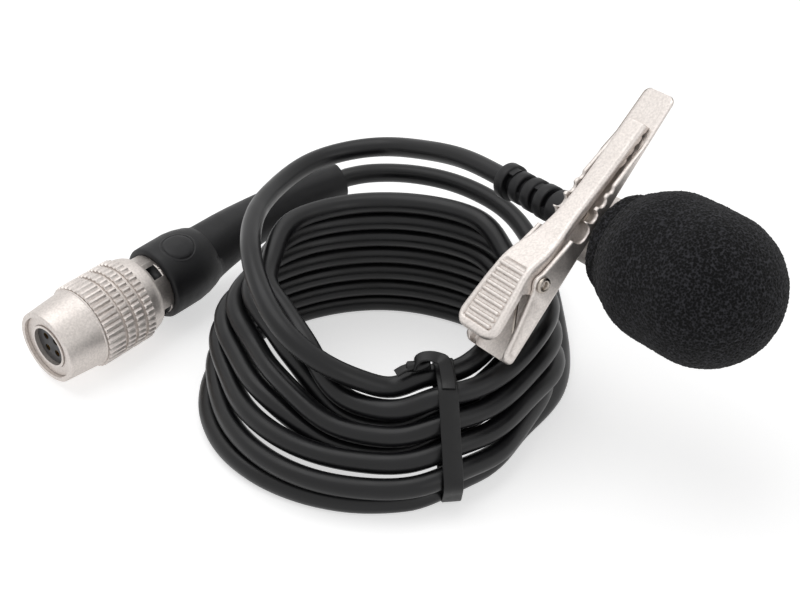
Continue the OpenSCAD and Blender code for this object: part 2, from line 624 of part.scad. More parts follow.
module cable_clamp() {
    color("#b9b2a8") in_plug() ring(boot_x0 + 1, shell_x1 - 0.4, clamp_r, cable_r + fit);
}

// The end of the cable's jacket, gripped by the clamp.
module cable_end() {
    color("#1c1c1e") in_plug() bar(boot_x0 + 1.1, shell_x1 + 0.2, cable_r);
}

module connector_shell() {
    color("#c8c1b7") in_plug() difference() {
        union() {
            bar(shell_x0, boot_x0, shell_r);
            bar(boot_x0, shell_x1, shell_r - 0.2);
        }
        bar(shell_x0 + 1, shell_x1 + 1, shell_in_r);
        bar(shell_x0 - 1, shell_x0 + 2, shield_r + fit);
        for (i = [0:3]) rotate([i * 90 + 30, 0, 0]) translate([sleeve_l + 0.4, -1, shell_r - 0.5])
            cube([1.4, 2, 2]);
    }
}

// Pull-back sleeve: smooth front, one wide and three narrow knurled bands.
wide_band = [4.2, 9.6];
narrow_bands = [[10.5, 11.6], [11.9, 13], [13.3, 14.4]];
ring_r = 5.45;
wide_ribs = 28;
narrow_ribs = 36;
rim_r = 5.58;
// Knurled band: a prism along x with count ribs on its rim.
module knurl(x0, x1, count, valley_r) {
    step = 360 / count;
    translate([x0, 0, 0]) rotate([90, 0, 90]) linear_extrude(height = x1 - x0)
        polygon([for (i = [0:count - 1]) each [for (p = [[-0.36, valley_r], [-0.2, knurl_r], [0.2, knurl_r],
            [0.36, valley_r]]) p[1] * [cos((i + p[0]) * step), sin((i + p[0]) * step)]]]);
}
module coupling_sleeve() {
    color("#cfc8be") in_plug() difference() {
        union() {
            turned([[0, 0], [0, sleeve_front_r - 0.5], [0.5, sleeve_front_r], [wide_band[0] - 0.3, sleeve_front_r],
                [wide_band[0] - 0.1, rim_r], [wide_band[0] + 0.1, rim_r], [wide_band[0] + 0.15, ring_r],
                [wide_band[1] - 0.15, ring_r], [wide_band[1] - 0.1, rim_r], [wide_band[1] + 0.1, rim_r],
                [wide_band[1] + 0.15, ring_r], [14.4, ring_r], [sleeve_l - 0.6, ring_r - 0.3],
                [sleeve_l, shell_r + 0.45], [sleeve_l, 0]]);
            knurl(wide_band[0], wide_band[1], wide_ribs, rim_r + 0.04);
            for (b = narrow_bands) knurl(b[0], b[1], narrow_ribs, ring_r + 0.07);
        }
        bar(-1, sleeve_l + 1, sleeve_in_r);
        bar(pocket_x0, pocket_x1, pocket_r);
    }
}

module snap_ring() {
    color("#8f8b86") in_plug() ring(pocket_x1 - 0.5, pocket_x1 - 0.1, pocket_r - 2 * fit, shell_r);
}

module sleeve_spring() {
    r = (shell_r + pocket_r) / 2;
    curls = 4;
    path = [for (i = [0:curls * 12]) let (a = i * 30)
        [pocket_x0 + 0.3 + (pocket_x1 - pocket_x0 - 1.2) * i / (curls * 12), r * cos(a), r * sin(a)]];
    color("#8f8b86") in_plug() spring_tube(path, spring_wire_d / 2);
}

module shield_ring() {
    color("#d6cfc6") in_plug() ring(0.3, 6, shield_r, insert_r + fit);
}

module contact_insert() {
    color("#232326") in_plug() difference() {
        bar(insert_x0, insert_x1, insert_r);
        for (i = [0:contact_count - 1]) rotate([45 + i * 360 / contact_count, 0, 0])
            translate([0, 0, contact_ring_r]) bar(insert_x0 - 1, insert_x1 + 1, contact_r);
    }
}

module contacts() {
    color("goldenrod") in_plug() for (i = [0:contact_count - 1])
        rotate([45 + i * 360 / contact_count, 0, 0]) translate([0, 0, contact_ring_r])
            difference() {
                bar(insert_x0 + 0.2, contact_x1, contact_r);
                bar(insert_x0 - 1, insert_x0 + 5, contact_bore_d / 2);
            }
}

module contact_leads() {
    color("royalblue") in_plug() for (i = [0:contact_count - 1])
        rotate([45 + i * 360 / contact_count, 0, 0]) translate([0, 0, contact_ring_r])
            bar(contact_x1, boot_x0 + 1, lead_d / 2);
}

windscreen();
mic_barrel();
mic_grille();
mic_rear_cap();
mic_capsule();
capsule_gasket();
capsule_board();
mic_leads();
strain_relief();
mic_holder();
holder_rivet();
clip_rear_jaw();
clip_front_jaw();
clip_pin();
clip_spring();
cord_mic_end();
cord_coil();
cord_plug_end();
tie_strap();
tie_knot();
boot_tail();
connector_boot();
boot_disc();
cable_clamp();
cable_end();
connector_shell();
coupling_sleeve();
sleeve_spring();
snap_ring();
shield_ring();
contact_insert();
contacts();
contact_leads();
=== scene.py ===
"""Clip-on lavalier microphone: the looks of its foam, tie clip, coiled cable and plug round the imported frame."""
import json
import math

import bmesh
import bpy
from bpy.props import FloatProperty, FloatVectorProperty, IntProperty, PointerProperty
from mathutils import Matrix, Vector, noise


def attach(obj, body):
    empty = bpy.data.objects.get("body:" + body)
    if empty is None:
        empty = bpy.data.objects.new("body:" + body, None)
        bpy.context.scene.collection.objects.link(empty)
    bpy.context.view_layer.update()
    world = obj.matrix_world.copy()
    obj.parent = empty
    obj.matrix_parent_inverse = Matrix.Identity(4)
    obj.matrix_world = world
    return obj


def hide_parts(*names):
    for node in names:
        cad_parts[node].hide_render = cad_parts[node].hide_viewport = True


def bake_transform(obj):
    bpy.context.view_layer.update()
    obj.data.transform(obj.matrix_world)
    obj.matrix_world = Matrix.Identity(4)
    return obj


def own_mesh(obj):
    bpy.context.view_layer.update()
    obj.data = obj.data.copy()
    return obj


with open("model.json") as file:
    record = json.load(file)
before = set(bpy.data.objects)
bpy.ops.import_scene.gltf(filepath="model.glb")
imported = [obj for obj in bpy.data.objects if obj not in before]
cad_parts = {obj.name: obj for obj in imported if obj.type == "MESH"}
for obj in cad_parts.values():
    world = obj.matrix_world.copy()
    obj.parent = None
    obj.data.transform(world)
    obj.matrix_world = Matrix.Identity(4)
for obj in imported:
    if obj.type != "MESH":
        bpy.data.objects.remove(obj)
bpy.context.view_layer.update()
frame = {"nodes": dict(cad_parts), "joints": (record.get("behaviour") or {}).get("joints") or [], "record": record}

bl_info = {
    "name": "Lavalier microphone",
    "version": (1, 0, 0),
    "blender": (4, 5, 0),
    "location": "View3D > Sidebar > Lavalier",
    "description": "Dresses a clip-on lavalier microphone, its coiled cable and its plug",
    "category": "Object",
}

MM = 0.001


# ---- places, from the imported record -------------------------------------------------
def mount(name):
    """Place and direction of a mount."""
    found = next(m for m in frame["record"]["mounts"] if m["name"] == name)
    return Vector(found["pos_m"]), Vector(found["axis"])


def joint(name):
    """Direction of a joint."""
    return Vector(next(j for j in frame["joints"] if j["name"] == name)["axis"])


def frame_of(x, z, point, local):
    """Matrix of a sub-assembly with these x and z directions, where point is at local, in millimetres."""
    x = x.normalized()
    z = (z - x * z.dot(x)).normalized()
    turn = Matrix((x, z.cross(x), z)).transposed().to_4x4()
    return Matrix.Translation(point) @ turn @ Matrix.Translation(Vector(local) * -MM)


# Microphone and clip: x runs to the foam, y to the clip's tip, z to the front jaw.
CLIP_GAP, CLIP_NORMAL = mount("clip_gap")
GAP_IN_MIC = (0, 10, 5.5)
MIC = frame_of(joint("jaw_hinge"), CLIP_NORMAL, CLIP_GAP, GAP_IN_MIC)
# Plug: x runs from its front face back to the boot.
PLUG_FRONT, PLUG_NORMAL = mount("plug_front")
FRONT_IN_PLUG = (2.2, 0, 0)
PLUG = frame_of(-PLUG_NORMAL, Vector((0, 0, 1)), PLUG_FRONT, FRONT_IN_PLUG)
PLUG_AXIS = PLUG.to_3x3().col[0].copy()

# ---- sizes, in millimetres and degrees ------------------------------------------------
CABLE_R = 1.35
FLOOR_H = 1.08              # axis height of the bottom turn in the frame
SUNK = 0.12                 # how far the bottom turn is pressed into the table
RELIEF_X0, RELIEF_X1 = -18.6, -5.2
BARREL_R, BARREL_X0, BARREL_X1 = 4.0, -4.6, 12.0
BOOT_X0, BOOT_X1, BOOT_R = 18.2, 27.2, 5.2
TAIL_END_R = 2.45
DISC_AT, DISC_TURN, DISC_R = 4.0, 16.0, 2.15

# Clip: sheet steel, the rear jaw's ends, its width at the grip and how fast it narrows, the pin,
# and the front jaw's thumb pad with its field of ribs.
SHEET = 0.6
WEB_Z = 4.9                 # back of the rear jaw, from the barrel's axis
GRIP_Y, TIP_Y, WEB_W, WEB_TAPER = -20.2, 17.6, 7.6, 0.0714
PIN_Y, PIN_H = -10.0, 3.3
PAD_END_Y, PAD_H, FRONT_TIP_Y = -19.2, 5.8, 13.0
RIB_L, RIB_R, RIB_FIELD, RIB_START, RIB_SUNK = 4.7, 0.3, 8.4, 1.5, 0.24

# Pull-back sleeve: (x, radius) of its front, back and bore, its ribbed bands, and the heights
# across one rib. The shell's latch windows lie within these places and radii; their faces carry painted shade.
SLEEVE_FRONT = ((0, 4.98), (0.1, 5.08), (5.5, 5.52), (5.6, 5.62), (5.75, 5.62))
SLEEVE_BACK = ((14.8, 5.5), (15.5, 5.28), (15.9, 5.05), (16, 4.9))
SLEEVE_BORE = ((16, 4.4), (9.4, 4.4), (9.4, 5.2), (5, 5.2), (5, 4.4), (0, 4.4))
SLEEVE_BANDS = ((5.8, 8.6), (9.0, 10.3), (10.75, 12.05), (12.5, 13.8))
CREST_R, VALLEY_R, GROOVE_R = 5.95, 5.66, 5.5
RIB_SECTION = (0, 0.25, 1, 1, 1, 0.25)
WINDOW_X, WINDOW_R = (16.3, 17.9), (3.6, 4.25)

# Tie: a band round the bundle, and its twisted end: points of the tape with the direction of
# its width, its wrung roll and its tail.
TIE_AT, TIE_TURN, TIE_W, TIE_T = (8.9, -17.0, 0.0), 276, 2.4, 0.34
TIE_LOOP = (((8.8, -15.5, 14.5), (1, 0, 0)), ((8.8, -14.8, 14.72), (1, 0, 0)),
            ((8.7, -14.1, 15.1), (1, 0.1, 0)), ((8.5, -13.1, 15.8), (1, 0.3, 0)),
            ((8.2, -12.4, 16.3), (0.7, 0.7, 0.2)), ((7.6, -12, 16.4), (0.3, 1, 0.2)),
            ((6.7, -11.9, 16.6), (0, 1, 0.1)), ((5.7, -11.9, 16.5), (-0.1, 1, 0)),
            ((5, -12, 16), (-0.1, 1, 0)), ((4.8, -12, 15.2), (0, 1, 0)))
TIE_ROLL = ((3.8, -11.9, 14.9), (5.2, -12, 15.2), (6.7, -11.9, 15.4))
TIE_TAIL = (((4.2, -12, 15.1), (0, 1, 0)), ((3.3, -12.2, 14.8), (0, 1, 0.2)),
            ((2.5, -12.5, 14.4), (0, 1, 0.3)))

# The coil: its bottom turn is an oval on the table, and each row of the stack holds an
# angle, the stack's lean, the place of its foot, and for each of the seven steps from turn
# to turn how far it turns from the lean and how many pitches long it is.
TURN_PITCH = 3.0
OVAL_AT, OVAL = (0.8, -1.1), (22.6, 20.4)
EVEN, STRAIGHT = (1,) * 7, (0,) * 7
MERGE_LEAN, MERGE_TURN = 6, 32
ZIGZAG = tuple(MERGE_TURN * s for s in (1, -1, 1, -1, 1, -1, 1))
STACK = (
    (32, MERGE_LEAN, TURN_PITCH * math.sin(math.radians(MERGE_LEAN + MERGE_TURN)),
     tuple(-z for z in ZIGZAG), EVEN),
    (56, 4, 0.4, STRAIGHT, EVEN),
    (95, 5, -0.4, STRAIGHT, (0.98,) * 7),
    (122, 5, -0.4, (0, 0, 0, 0, 5, 10, 0), EVEN),
    (155, 8, -0.4, (-8, -8, 5, 25, 38, 40, 0), EVEN),
    (192, 32, 0, (0, 0, 0, 10, 30, -5, 0), (1, 1, 1, 1, 1.04, 1.08, 1.08)),
    (258, 53, 0.2, (-60, 0, 58, -58, 58, -58, -8), (1, 1.08, 1.08, 1.08, 1.06, 1.08, 1.08)),
    (280, 48, 0.6, (-66, 2, 60, -60, 60, -60, 16), (1, 1, 1.03, 1.03, 1, 1.04, 1.12)),
    (306, 22, 2.6, (-48, 2, 60, -60, 60, -60, 66), (1, 1, 1.03, 1.03, 1.03, 1.06, 1.22)),
    (334, 8, 4, (-30, -6, 58, -58, 58, -58, 76), (1, 1, 1.02, 1.02, 1.02, 1.02, 1.35)),
    (362, 8, 1.2, (0, -35, 50, -48, 48, -48, 60), (1, 1, 1.04, 1.08, 1.08, 1.08, 1.2)),
    (392, MERGE_LEAN, 0, ZIGZAG, EVEN),
)
MOST_SLANT = 1.35
TABLE_START = STACK[0][0]
DROP_FROM, DROP_TO = 362, 392
TIE_ANGLE, TIE_LIFT, TIE_SPREAD = 294, 0.85, 9
COIL_START, COIL_END = 284, 356
COIL_TOTAL = 7 * 360 + COIL_END - COIL_START
RINGS_A_TURN, CABLE_STEP, SOFTENING = 48, 0.8, 12
MIC_END_ROUTE = ((12.5, 22.1, 22.5), (9.6, 25.1, 21.7), (5.4, 28.5, 20.4), (0.9, 31.4, 19),
                 (-3.9, 31.2, 18.5), (-9.3, 28.3, 18.4), (-13.7, 21.2, 18.8), (-15.9, 12.6, 20.1),
                 (-15.7, 3.4, 20.5), (-13.7, -4, 19.5), (-11.1, -8.8, 18), (-7.4, -11.5, 16),
                 (-3.9, -12.3, 14.1), (-0.8, -12.2, 12.7))
PLUG_END_ROUTE = ((24, 3.4, 1.1), (24.4, 7, 1.2), (24.4, 10.6, 1.5), (24.1, 14.6, 2.2),
                  (23.5, 19.6, 3.5), (22.2, 25.6, 5.2), (19.2, 31.6, 7.2), (14.8, 35.4, 8.4),
                  (9.4, 38, 9.2), (3, 38.9, 9.8))
# The boot's bent tail, from the boot to where the cable comes out.
TAIL_ROUTE = tuple(Vector(p) for p in ((-20.5, 26.6, 7.6), (-15.8, 30.3, 8.5), (-10.8, 33.7, 9.4)))
TAIL_END = Vector((-5.6, 36.6, 10))
TAIL_DIR = (TAIL_END - TAIL_ROUTE[-1]).normalized()

# ---- stage, in metres and degrees --------------------------------------------------------
CAMERA_AT, CAMERA_TILT, CAMERA_LENS, SENSOR_W = (0.003, -0.17995, 0.15166), 53, 81, 36
FLOOR_HALF, CARD_WHITE, CARD_GLOW = 2.0, 0.8, 0.56
# Soft lamps: name, place, aim, size, and share of the key light's power.
LAMPS = (("key", (-0.12, 0.12, 0.5), (0.02, 0, 0.01), 0.45, 1),
         ("fill", (0.35, -0.35, 0.25), (0, 0, 0.01), 0.3, 0.25))


# ---- small helpers ----------------------------------------------------------------------
def ease(t):
    """Smooth step from 0 to 1."""
    t = min(1.0, max(0.0, t))
    return t * t * (3 - 2 * t)


def lerp(a, b, t):
    """Value or tuple between a and b."""
    if isinstance(a, tuple):
        return tuple(x + (y - x) * t for x, y in zip(a, b))
    return a + (b - a) * t


def between(table, at):
    """Value of a table of (position, value...) rows, eased from row to row."""
    if at <= table[0][0]:
        return table[0][1:]
    for low, high in zip(table, table[1:]):
        if at <= high[0]:
            t = (at - low[0]) / (high[0] - low[0])
            return tuple(lerp(a, b, ease(t)) for a, b in zip(low[1:], high[1:]))
    return table[-1][1:]


def spline(points, steps):
    """Smooth curve through given points."""
    points = [Vector(p) for p in points]
    made = []
    for i in range(len(points) - 1):
        a, b = points[max(i - 1, 0)], points[i]
        c, d = points[i + 1], points[min(i + 2, len(points) - 1)]
        for k in range(steps):
            t = k / steps
            made.append(0.5 * (2 * b + (c - a) * t + (2 * a - 5 * b + 4 * c - d) * t * t
                               + (3 * b - 3 * c + d - a) * t ** 3))
    return made + [points[-1]]


def respaced(path, step):
    """The same line with points step apart."""
    made, left = [path[0]], step
    for a, b in zip(path, path[1:]):
        long = (b - a).length
        at = left
        while at <= long:
            made.append(a.lerp(b, at / long))
            at += step
        left = at - long
    if (made[-1] - path[-1]).length > step / 2:
        made.append(path[-1])
    else:
        made[-1] = path[-1]
    return made


def softened(path, passes, fixed=2):
    """A path whose kinks are evened out, with its ends kept."""
    path = list(path)
    for _ in range(passes):
        path = [p if i < fixed or i >= len(path) - fixed else p.lerp((path[i - 1] + path[i + 1]) / 2, 0.5)
                for i, p in enumerate(path)]
    return path


# ---- the cable's line --------------------------------------------------------------------
def chain_step(row, j):
    """Step from turn j to the next, inwards and up, by the stack's lean, foot, step turns and step lengths."""
    lean, _, turned, lengths = row
    tilt, long = math.radians(lean + turned[j]), TURN_PITCH * lengths[j]
    return Vector((long * math.sin(tilt), long * math.cos(tilt)))


def place(angle, inwards, up):
    """Point beside and above the bottom turn."""
    c, s = math.cos(math.radians(angle)), math.sin(math.radians(angle))
    out = Vector((c * OVAL[1], s * OVAL[0])).normalized()
    return Vector((OVAL_AT[0] + OVAL[0] * c - out.x * inwards,
                   OVAL_AT[1] + OVAL[1] * s - out.y * inwards, FLOOR_H + up))


def stack_point(j, angle, stretch):
    """Turn j of the stack at an angle of the table, with its steps stretched."""
    row = between(STACK, angle)
    sums = sum((stretch[i] * chain_step(row, i) for i in range(j)), Vector((0, 0)))
    drop = ease((angle - DROP_FROM) / (DROP_TO - DROP_FROM))
    foot = stretch[0] * chain_step(row, 0).y * drop if j else 0
    lift = TIE_LIFT * math.exp(-((angle - TIE_ANGLE) / TIE_SPREAD) ** 2)
    return place(angle, row[1] + sums.x, sums.y - foot + lift)


def any_point(j, angle):
    """Turn j at any angle: past the table's ends a turn goes on under its next number."""
    if angle < TABLE_START:
        return stack_point(min(j + 1, 7), angle + 360 if j < 7 else TABLE_START + 360, EVEN)
    if angle > TABLE_START + 360:
        return stack_point(max(j - 1, 0), angle - 360, EVEN)
    return stack_point(j, angle, EVEN)


def slant(j, angle, near=5):
    """Stretch of a step where its turns run steeply, so that the clear gap stays."""
    t = any_point(j, angle + near) - any_point(j, angle - near)
    d = any_point(j + 1, angle) - any_point(j, angle)
    return min(MOST_SLANT, t.length * d.length / t.cross(d).length)


def turn_point(j, angle):
    """Turn j of the finished stack."""
    return stack_point(j, angle, [slant(i, angle) for i in range(7)])


def coil_path():
    """The whole winding, from the loop beside the tie down to the bottom turn."""
    steps = round(COIL_TOTAL / 360 * RINGS_A_TURN)
    made = []
    for i in range(steps + 1):
        angle = COIL_START + COIL_TOTAL * i / steps
        turn = math.floor((angle - TABLE_START) / 360)
        made.append(turn_point(7 - turn, angle - 360 * turn))
    return made


def stretch(start, start_dir, route, end, end_dir):
    """A free stretch: straight ends one cable diameter long, and a smooth curve between."""
    first, last = start + start_dir * 2 * CABLE_R, end - end_dir * 2 * CABLE_R
    return [start] + spline([first, *route, last], 4) + [end]


def cable_line():
    """The cable's line in millimetres, from the strain relief through the coil to the boot's tail."""
    leaves = MIC @ Vector((RELIEF_X0 * MM, 0, 0)) / MM
    coil = coil_path()
    from_mic = stretch(leaves, -MIC.to_3x3().col[0], MIC_END_ROUTE, coil[0],
                       (coil[1] - coil[0]).normalized())
    to_plug = stretch(coil[-1], (coil[-1] - coil[-2]).normalized(), PLUG_END_ROUTE, TAIL_END, -TAIL_DIR)
    line = softened(respaced(from_mic[:-1] + coil + to_plug[1:], CABLE_STEP), SOFTENING)
    return [Vector((p.x, p.y, max(p.z, CABLE_R - SUNK))) for p in line]


# ---- meshes -----------------------------------------------------------------------------
def skin(rings, closed=False):
    """Points and faces of a skin over rings of equally many points; open ends are filled."""
    count, n = len(rings[0]), len(rings)
    faces = []
    for i in range(n if closed else n - 1):
        a, b = i * count, (i + 1) % n * count
        for k in range(count):
            m = (k + 1) % count
            faces.append((a + k, a + m, b + m, b + k))
    if not closed:
        faces += [tuple(range(count - 1, -1, -1)), tuple((n - 1) * count + k for k in range(count))]
    return [p for ring in rings for p in ring], faces


def turns(count):
    """Evenly spaced angles of one full turn."""
    return [math.tau * k / count for k in range(count)]


def ring_at(x, radii):
    """Ring of points round the x axis, with a radius for each."""
    return [Vector((x, r * math.cos(a), r * math.sin(a))) for r, a in zip(radii, turns(len(radii)))]


def ring_about(p, side, up, radii):
    """Ring of points round a point of a path, with a radius for each."""
    return [p + r * (math.cos(a) * side + math.sin(a) * up) for r, a in zip(radii, turns(len(radii)))]


def lathe(profile, sides):
    """Closed body turned about x from (x, radius) points; its ends may lie on the axis."""
    points, faces, rows = [], [], []
    for x, r in profile:
        made = [Vector((x, 0, 0))] if r < 1e-6 else ring_at(x, [r] * sides)
        rows.append(range(len(points), len(points) + len(made)))
        points += made
    for low, high in zip(rows, rows[1:] + ([] if len(rows[0]) == 1 else [rows[0]])):
        for k in range(sides):
            # Corners that share a point on the axis fall together.
            corners = (row[i % len(row)] for row, i in ((low, k), (low, k + 1), (high, k + 1), (high, k)))
            face = tuple(dict.fromkeys(corners))
            if len(face) > 2:
                faces.append(face)
    return points, faces


def along(path, side=None):
    """(point, side, up) at each point of a path, carried along without twist."""
    spots, last = [], side
    for i, p in enumerate(path):
        ahead = (path[min(i + 1, len(path) - 1)] - path[max(i - 1, 0)]).normalized()
        last = ahead.orthogonal() if last is None else last
        last = (last - ahead * last.dot(ahead)).normalized()
        spots.append((p, last, ahead.cross(last)))
    return spots


def rounded(half_w, half_h, corner, steps=3):
    """Outline of a rectangle with round corners."""
    points = []
    for q, (sx, sy) in enumerate(((1, 1), (-1, 1), (-1, -1), (1, -1))):
        for i in range(steps + 1):
            a = math.radians(90 * q + 90 * i / steps)
            points.append((sx * (half_w - corner) + corner * math.cos(a),
                           sy * (half_h - corner) + corner * math.sin(a)))
    return points


def ribbon(path, sides_of, width, thick, closed=False):
    """Points and faces of a flat tape with round edges; sides_of gives the direction of its width at each point."""
    rings = []
    for i, (p, wide) in enumerate(zip(path, sides_of)):
        before = path[i - 1] if closed or i else p
        after = path[(i + 1) % len(path)] if closed or i + 1 < len(path) else p
        ahead = (after - before).normalized()
        wide = (wide - ahead * wide.dot(ahead)).normalized()
        up = ahead.cross(wide)
        rings.append([p + wide * x + up * y for x, y in rounded(width / 2, thick / 2, thick * 0.42)])
    return skin(rings, closed)


def joined(*shapes):
    """Several shapes as one."""
    points, faces = [], []
    for some, theirs in shapes:
        faces += [tuple(k + len(points) for k in face) for face in theirs]
        points += some
    return points, faces


def resampled_profile(profile, step):
    """A profile of (x, radius) points with points no further than step apart."""
    made = [profile[0]]
    for a, b in zip(profile, profile[1:]):
        n = max(1, math.ceil(math.dist(a, b) / step))
        made += [lerp(tuple(a), tuple(b), (i + 1) / n) for i in range(n)]
    return made


def arc(centre, r, start, end, steps):
    """Points of an arc, with its angles in degrees."""
    angles = [math.radians(start + (end - start) * i / steps) for i in range(steps + 1)]
    return [(centre[0] + r * math.cos(a), centre[1] + r * math.sin(a)) for a in angles]


def level(profile, at, soft=0.0):
    """Height of a profile of (place, height) points in rising order, evened out over a width."""
    spots = [at + soft * k / 4 for k in range(-4, 5)] if soft else [at]
    heights = []
    for x in spots:
        x = min(max(x, profile[0][0]), profile[-1][0])
        for a, b in zip(profile, profile[1:]):
            if x <= b[0]:
                heights.append(a[1] if b[0] == a[0] else a[1] + (b[1] - a[1]) * (x - a[0]) / (b[0] - a[0]))
                break
    return sum(heights) / len(heights)


def quarter(away, radius):
    """How far a rounded edge of this radius falls back at a distance from the end."""
    t = 1 - min(1, max(0, away / radius))
    return radius * (1 - math.sqrt(1 - t * t))


def channel_ring(y, half, back, edge, web, corner, dish=0.0, sink=0.0):
    """Section of a folded sheet channel: its back at height back, its two flanges down or up to edge."""
    way, deep = (1, edge - back) if edge >= back else (-1, back - edge)
    web, corner = min(web, deep), min(corner, half * 0.8)
    sheet, border, edge_in, dish_in, dish_up = SHEET, 0.95, 0.12, 0.5, 0.7
    inner = max(half - sheet, 0.02)
    turn = [math.radians(18 * k) for k in range(6)]
    tuck = min(0.35, inner * 0.5)

    def at(x, down):
        return x, back + way * min(max(down, 0), deep)

    panel = max(half - border, 0.05)
    out = [at(0, sink), at(panel * 0.5, sink), at(panel, sink), at(panel + 0.12, sink * 0.25),
           at(panel + 0.2, 0)]
    out += [at(half - corner + corner * math.sin(a), corner * (1 - math.cos(a))) for a in turn]
    out += [at(half, corner + 0.25), at(half - dish, corner + dish_in),
            at(half - dish, max(deep - dish_up, corner + dish_in)), at(half, max(deep - 0.45, corner + dish_in)),
            at(half, deep - edge_in), at(half - edge_in, deep), at(half - sheet + edge_in, deep),
            at(inner, max(deep - edge_in, web)), at(inner, web + tuck)]
    out += [at(inner - tuck + tuck * math.cos(a), web + tuck * (1 - math.sin(a))) for a in turn[1:-1]]
    out += [at(inner - tuck, web), at(0, web)]
    loop = out + [(-x, z) for x, z in out[-2:0:-1]]
    return [Vector((x, y, z)) for x, z in loop]


def stations(start, end, step, ends=0.6):
    """Places along a jaw, close together where its ends are rounded."""
    close = [ends * k * k for k in (0, 0.12, 0.25, 0.4, 0.55, 0.7, 0.85, 1)]
    n = math.ceil((end - start - 2 * ends) / step)
    middle = [start + ends + (end - start - 2 * ends) * i / n for i in range(1, n)]
    return [start + c for c in close] + middle + [end - c for c in reversed(close)]


def make(name, shape, material, body, at=None, replaces=(), sharp=35):
    """A piece from points and faces in millimetres, in a sub-assembly's place, riding on a body."""
    mesh = bpy.data.meshes.new(name)
    mesh.from_pydata([p * MM for p in shape[0]], [], shape[1])
    return finished(name, mesh, material, body, at, replaces, sharp)


def finished(name, mesh, material, body, at=None, replaces=(), sharp=35):
    """A piece from a mesh in metres: cleaned, put in place and hung on its body's empty; one given no body stays free.
    """
    form = bmesh.new()
    form.from_mesh(mesh)
    bmesh.ops.remove_doubles(form, verts=form.verts, dist=1e-7)
    bmesh.ops.recalc_face_normals(form, faces=form.faces)
    form.to_mesh(mesh)
    form.free()
    if at is not None:
        mesh.transform(at)
    mesh.shade_smooth()
    mesh.set_sharp_from_angle(angle=math.radians(sharp))
    mesh.materials.clear()
    mesh.materials.append(material)
    piece = bpy.data.objects.new(name, mesh)
    bpy.context.scene.collection.objects.link(piece)
    if body is not None:
        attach(piece, body)
    if replaces:
        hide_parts(*replaces)
    return piece


def size_tree(name, sizes):
    """New geometry tree whose inputs are named sizes: (tree, its input node)."""
    tree = bpy.data.node_groups.new(name, "GeometryNodeTree")
    tree.interface.new_socket(name="Geometry", in_out="OUTPUT", socket_type="NodeSocketGeometry")
    for label, value in sizes.items():
        kind = "NodeSocketInt" if isinstance(value, int) else "NodeSocketFloat"
        tree.interface.new_socket(name=label, in_out="INPUT", socket_type=kind).default_value = value
    return tree, add(tree, "NodeGroupInput").outputs


def grown(tree, sizes):
    """Plain mesh of a geometry tree with these sizes."""
    seed = bpy.data.objects.new(tree.name, bpy.data.meshes.new(tree.name))
    bpy.context.scene.collection.objects.link(seed)
    modifier = seed.modifiers.new("shape", "NODES")
    modifier.node_group = tree
    for item in tree.interface.items_tree:
        if item.in_out == "INPUT" and item.name in sizes:
            modifier[item.identifier] = sizes[item.name]
    mesh = bpy.data.meshes.new_from_object(seed.evaluated_get(bpy.context.evaluated_depsgraph_get()))
    seed.modifiers.remove(modifier)
    bpy.data.objects.remove(seed)
    return mesh


def rounded_bar(tree, length, radius, sides=12, stations=25, taper=0.08):
    """Geometry of a bar along x that closes in over the last share of its length, so that its ends are round."""
    back, ahead = (add(tree, "ShaderNodeMath", {0: length, 1: half}, operation="MULTIPLY").outputs[0]
                   for half in (-0.5, 0.5))
    line = add(tree, "GeometryNodeCurvePrimitiveLine", {
        "Start": add(tree, "ShaderNodeCombineXYZ", {"X": back}).outputs[0],
        "End": add(tree, "ShaderNodeCombineXYZ", {"X": ahead}).outputs[0]}).outputs[0]
    points = add(tree, "GeometryNodeResampleCurve", {"Curve": line, "Count": stations}).outputs[0]
    along_it = add(tree, "GeometryNodeSplineParameter").outputs["Factor"]
    off_middle = add(tree, "ShaderNodeMath", {0: along_it, 1: 0.5}, operation="SUBTRACT").outputs[0]
    away = add(tree, "ShaderNodeMath", {0: off_middle}, operation="ABSOLUTE").outputs[0]
    closing = add(tree, "ShaderNodeMapRange", {"Value": away, "From Min": 0.5 - taper,
                                               "From Max": 0.5}).outputs["Result"]
    square = add(tree, "ShaderNodeMath", {0: closing, 1: closing}, operation="MULTIPLY").outputs[0]
    # Just over 1, so that the ends keep a small face.
    left = add(tree, "ShaderNodeMath", {0: 1.02, 1: square}, operation="SUBTRACT").outputs[0]
    thick = add(tree, "ShaderNodeMath", {0: left}, operation="SQRT").outputs[0]
    sized = add(tree, "ShaderNodeMath", {0: thick, 1: radius}, operation="MULTIPLY").outputs[0]
    ring = add(tree, "GeometryNodeCurvePrimitiveCircle", {"Resolution": sides, "Radius": 1.0}).outputs[0]
    return add(tree, "GeometryNodeCurveToMesh", {"Curve": points, "Profile Curve": ring, "Fill Caps": True,
                                                 "Scale": sized}).outputs[0]


def pad_ribs(look, plate):
    """Mesh of the thumb pad's pressed ribs, side by side along y."""
    sizes = {"Ribs": look.ribs, "Length": RIB_L * MM, "Radius": RIB_R * MM, "Pitch": RIB_FIELD / look.ribs * MM}
    tree, given = size_tree("pad_ribs", sizes)
    bar = rounded_bar(tree, given["Length"], given["Radius"])
    step = add(tree, "ShaderNodeCombineXYZ", {"Y": given["Pitch"]}).outputs[0]
    start = Vector((0, PAD_END_Y + RIB_START, WEB_Z + PAD_H - RIB_SUNK)) * MM
    row = add(tree, "GeometryNodeMeshLine", {"Count": given["Ribs"], "Offset": step, "Start Location": start})
    bars = add(tree, "GeometryNodeInstanceOnPoints", {"Points": row.outputs[0], "Instance": bar}).outputs[0]
    real = add(tree, "GeometryNodeRealizeInstances", {"Geometry": bars}).outputs[0]
    plated = add(tree, "GeometryNodeSetMaterial", {"Geometry": real, "Material": plate}).outputs[0]
    add(tree, "NodeGroupOutput", {0: plated})
    return grown(tree, sizes)


